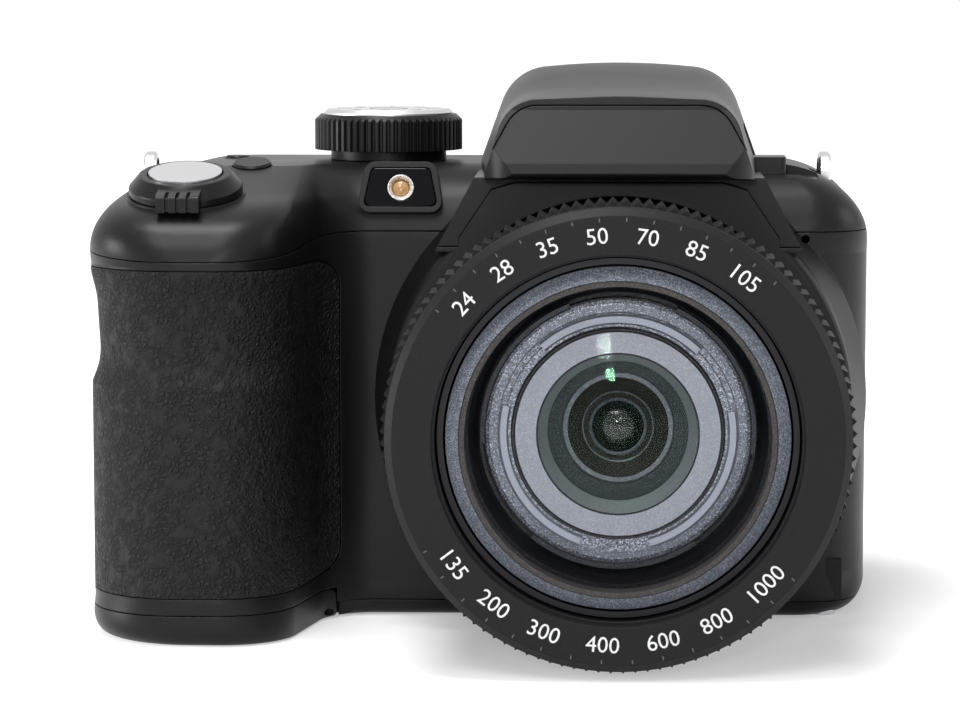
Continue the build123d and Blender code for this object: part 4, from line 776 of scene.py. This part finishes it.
# %% Numbers on the dial, and index marks
dial_centre = Vector((-36.8, 2.0, 78.1))
number_radius, number_height = 6.9, 2.3
dial_numbers = []
for number in range(8):
    turn = math.radians(90 - 45 * number)
    up = Vector((math.cos(turn), math.sin(turn), 0))
    right = Vector((up.y, -up.x, 0))
    place = face_at(dial_centre + up * number_radius, right, up)
    dial_numbers.append((digits(str(number + 1), number_height), place))
gathered("dial_numbers", dial_numbers, "mode_dial", grey_print)
dial_face = face_at(dial_centre, (1, 0, 0), (0, 1, 0))
centre_ring = curve_plate("dial_centre_ring", [circle(3.1), circle(2.75)], 0.06, 0.01)
centre_ring.transform(dial_face)
new_piece("dial_centre_ring", centre_ring, "mode_dial", grey_print)
deck = face_at((-36.8, 14.4, 70.0), (1, 0, 0), (0, 1, 0))
stamped("dial_index_mark", deck, [[(-0.35, 0.9), (0.0, -0.35), (0.35, 0.9)]], "camera_body",
        white_print)
print("dial numbers:", len(dial_numbers))

# %% [markdown]
# ## Marks on the back and the foot
#
# Rear buttons carry small pictures: a dot for recording, a triangle for playback, three bars for the menu
# and a bin for deleting. They are printed, so the stamp from above is enough. On the foot, each screw gets
# a black cross, painted shade for its cross recess, and the battery door an arrow beside its latch.

# %% Marks on the rear buttons
def rectangle(left, low, right, high):
    """An outline of four corners that run anticlockwise."""
    return [(left, low), (right, low), (right, high), (left, high)]


def back_face(x, z, y):
    """A drawing plane on the back, seen from behind."""
    return face_at((x, y, z), (-1, 0, 0), (0, 0, 1))


back_wall = 19.5
button_proud, pad_proud = 0.6, 0.8
column, button_face = -38.0, back_wall + button_proud
stamped("record_dot", back_face(column, 51.5, button_face), [circle(1.25, 32)], "record_button",
        red_print, proud=0.04)
stamped("playback_mark", back_face(column, 31.0, button_face), [[(-0.8, -1.1), (1.2, 0.0), (-0.8, 1.1)]],
        "playback_button", white_print)
stamped("menu_mark", back_face(column, 21.5, button_face),
        [rectangle(-1.2, level - 0.17, 1.2, level + 0.17) for level in (-0.8, 0.0, 0.8)], "menu_button",
        white_print)
stamped("delete_mark", back_face(column, 12.0, button_face),
        [[(-0.75, -1.2), (0.75, -1.2), (0.95, 0.5), (-0.95, 0.5)], rectangle(-1.2, 0.75, 1.2, 1.05),
         rectangle(-0.4, 1.15, 0.4, 1.4)], "delete_button", white_print)
tip, base, half = 7.9, 6.7, 0.75
pad_marks = []
for turn in range(4):
    angle = math.pi / 2 * turn
    pad_marks.append([
        (math.cos(angle) * tip, math.sin(angle) * tip),
        (math.cos(angle) * base - math.sin(angle) * half, math.sin(angle) * base + math.cos(angle) * half),
        (math.cos(angle) * base + math.sin(angle) * half, math.sin(angle) * base - math.cos(angle) * half),
    ])
stamped("pad_marks", back_face(-57.5, 20.0, back_wall + pad_proud), pad_marks, "four_way_pad",
        white_print)
print("rear marks made")

# %% Screw recesses and the door's arrow
screw_face = 0.2
half_length, half_width = 1.1, 0.22
cross_arms = [rectangle(-half_length, -half_width, half_length, half_width),
              rectangle(-half_width, -half_length, half_width, half_length)]
# Each black cross is painted shade: it stands for the dark inside a screw's cross recess.
screw_crosses = []
for x, y in ((32.0, -15.4), (-39.7, -15.4), (32.0, 15.4), (-39.7, 15.4)):
    foot = face_at((x, y, screw_face), (1, 0, 0), (0, -1, 0))
    screw_crosses += [(curve_plate("cross", [arm], 0.08, 0.01, 1), foot.copy()) for arm in cross_arms]
gathered("screw_crosses", screw_crosses, "camera_body", painted_shade_black)
door_face = face_at((-70.0, 13.6, 0.0), (1, 0, 0), (0, -1, 0))
stamped("door_arrow", door_face, [[(-1.2, -0.8), (1.2, 0.0), (-1.2, 0.8)]], "battery_door",
        grey_print, proud=0.0, sunk=0.03)
print("foot marks made")

# %% [markdown]
# ## White paper that gives no light
#
# A product photograph is made on white paper. A white world would do, but it would also light the object
# from all sides and turn black plastic grey. So the floor and the world are white where the camera, a gloss
# or a glass looks at them, and plain grey where they only give light. The floor's own glow grows with
# distance, so that it meets the white of the world with no line. Near the camera's foot the glow is weaker,
# which paints a soft shade round the foot on top of the real shadow that the lamps cast.

# %% Which rays look straight at it
def seen_directly(tree):
    """One where the ray comes from the camera, a gloss or a glass, and zero where it only carries light."""
    path = tree.nodes.new("ShaderNodeLightPath")
    either = tree.nodes.new("ShaderNodeMath")
    either.operation = "MAXIMUM"
    tree.links.new(path.outputs["Is Camera Ray"], either.inputs[0])
    tree.links.new(path.outputs["Is Glossy Ray"], either.inputs[1])
    any_of = tree.nodes.new("ShaderNodeMath")
    any_of.operation = "MAXIMUM"
    tree.links.new(either.outputs["Value"], any_of.inputs[0])
    tree.links.new(path.outputs["Is Transmission Ray"], any_of.inputs[1])
    return any_of.outputs["Value"]


print("helper: seen_directly")

# %% Floor
half_floor = 6.0
floor_mesh = bpy.data.meshes.new("floor")
floor_corners = [(-half_floor, -half_floor, 0), (half_floor, -half_floor, 0), (half_floor, half_floor, 0),
                 (-half_floor, half_floor, 0)]
floor_mesh.from_pydata(floor_corners, [], [(0, 1, 2, 3)])
floor = bpy.data.objects.new("floor", floor_mesh)
bpy.context.scene.collection.objects.link(floor)
paper = finish("white_paper", (0.62, 0.62, 0.62), 0.7, specular=0.1)
tree = paper.node_tree
far_off = tree.nodes.new("ShaderNodeVectorMath")
far_off.operation = "LENGTH"
tree.links.new(own_place(tree), far_off.inputs[0])
lift = tree.nodes.new("ShaderNodeMapRange")
lift.interpolation_type = "SMOOTHSTEP"
# Near the foot the glow is weaker, which paints a soft shade round it on top of the real shadow.
glow_starts, glow_full = 0.05, 0.11
near_glow_painted_shade, far_glow = 0.36, 0.95
lift.inputs["From Min"].default_value = glow_starts
lift.inputs["From Max"].default_value = glow_full
lift.inputs["To Min"].default_value = near_glow_painted_shade
lift.inputs["To Max"].default_value = far_glow
tree.links.new(far_off.outputs["Value"], lift.inputs["Value"])
shown = tree.nodes.new("ShaderNodeMath")
shown.operation = "MULTIPLY"
tree.links.new(lift.outputs["Result"], shown.inputs[0])
tree.links.new(seen_directly(tree), shown.inputs[1])
glow = tree.nodes.new("ShaderNodeEmission")
tree.links.new(shown.outputs["Value"], glow.inputs["Strength"])
add = tree.nodes.new("ShaderNodeAddShader")
tree.links.new(tree.nodes["Principled BSDF"].outputs["BSDF"], add.inputs[0])
tree.links.new(glow.outputs["Emission"], add.inputs[1])
tree.links.new(add.outputs["Shader"], tree.nodes["Material Output"].inputs["Surface"])
floor_mesh.materials.append(paper)
print("floor made, its glow full beyond", glow_full, "m")

# %% World
world = bpy.data.worlds.new("studio")
bpy.context.scene.world = world
world.use_nodes = True
tree = world.node_tree
surround = tree.nodes["Background"]
surround.inputs["Color"].default_value = (1.0, 1.0, 1.0, 1.0)
level = tree.nodes.new("ShaderNodeMapRange")
light_given, white_seen = 0.24, 1.0
level.inputs["To Min"].default_value = light_given
level.inputs["To Max"].default_value = white_seen
tree.links.new(seen_directly(tree), level.inputs["Value"])
tree.links.new(level.outputs["Result"], surround.inputs["Strength"])
print("world made")

# %% [markdown]
# ## Lamps
#
# Soft light comes from rectangular lamps, as from the boxes of a studio. One large lamp overhead would light
# the tops and leave the front dull. So one hangs above, one stands high in front on the left, one low on the
# left for the edge of the body, and weaker ones on the right and far in front. A very small one puts the
# bright point on the glass.

# %% Lamps
def soft_box(name, place, aim, width, height, watts):
    """A rectangular lamp that looks at a point."""
    light = bpy.data.lights.new(name, "AREA")
    light.shape = "RECTANGLE"
    light.size = width
    light.size_y = height
    light.energy = watts
    lamp = bpy.data.objects.new(name, light)
    lamp.location = place
    lamp.rotation_euler = (Vector(aim) - Vector(place)).to_track_quat("-Z", "Y").to_euler()
    bpy.context.scene.collection.objects.link(lamp)
    return lamp


middle = (-0.02, -0.02, 0.04)
lamps = [
    soft_box("box_above", (-0.12, -0.16, 0.74), middle, 0.30, 0.20, 4.2),
    soft_box("box_high_left", (-0.16, -0.62, 0.70), middle, 0.34, 0.34, 3.2),
    soft_box("box_left", (-0.75, -0.12, 0.12), middle, 0.30, 0.24, 2.6),
    soft_box("box_right", (0.75, 0.0, 0.30), middle, 0.40, 0.40, 1.5),
    soft_box("box_front", (0.15, -1.1, 0.45), middle, 0.2, 0.2, 0.8),
    soft_box("small_spark", (-0.03, -0.62, 0.16), (0.0, -0.07, 0.034), 0.032, 0.032, 0.6),
]
print("lamps:", [lamp.name for lamp in lamps])

# %% [markdown]
# ## The camera
#
# The photograph looks slightly down at the lens from about half a metre. Its place was worked out from how
# the lens rings and the body's corners converge.

# %% Camera
camera_data = bpy.data.cameras.new("view_camera")
camera_data.sensor_width = 36.0
camera_data.lens = 129.94
camera_data.clip_start = 0.01
camera = bpy.data.objects.new("view_camera", camera_data)
camera.location = (0.0, -0.551, 0.100)
look_down, look_left = 6.45, 2.3
camera.rotation_euler = (math.radians(90 - look_down), 0.0, math.radians(look_left))
bpy.context.scene.collection.objects.link(camera)
bpy.context.scene.camera = camera
bpy.context.scene.view_settings.view_transform = "Standard"
print("camera at", tuple(camera.location))
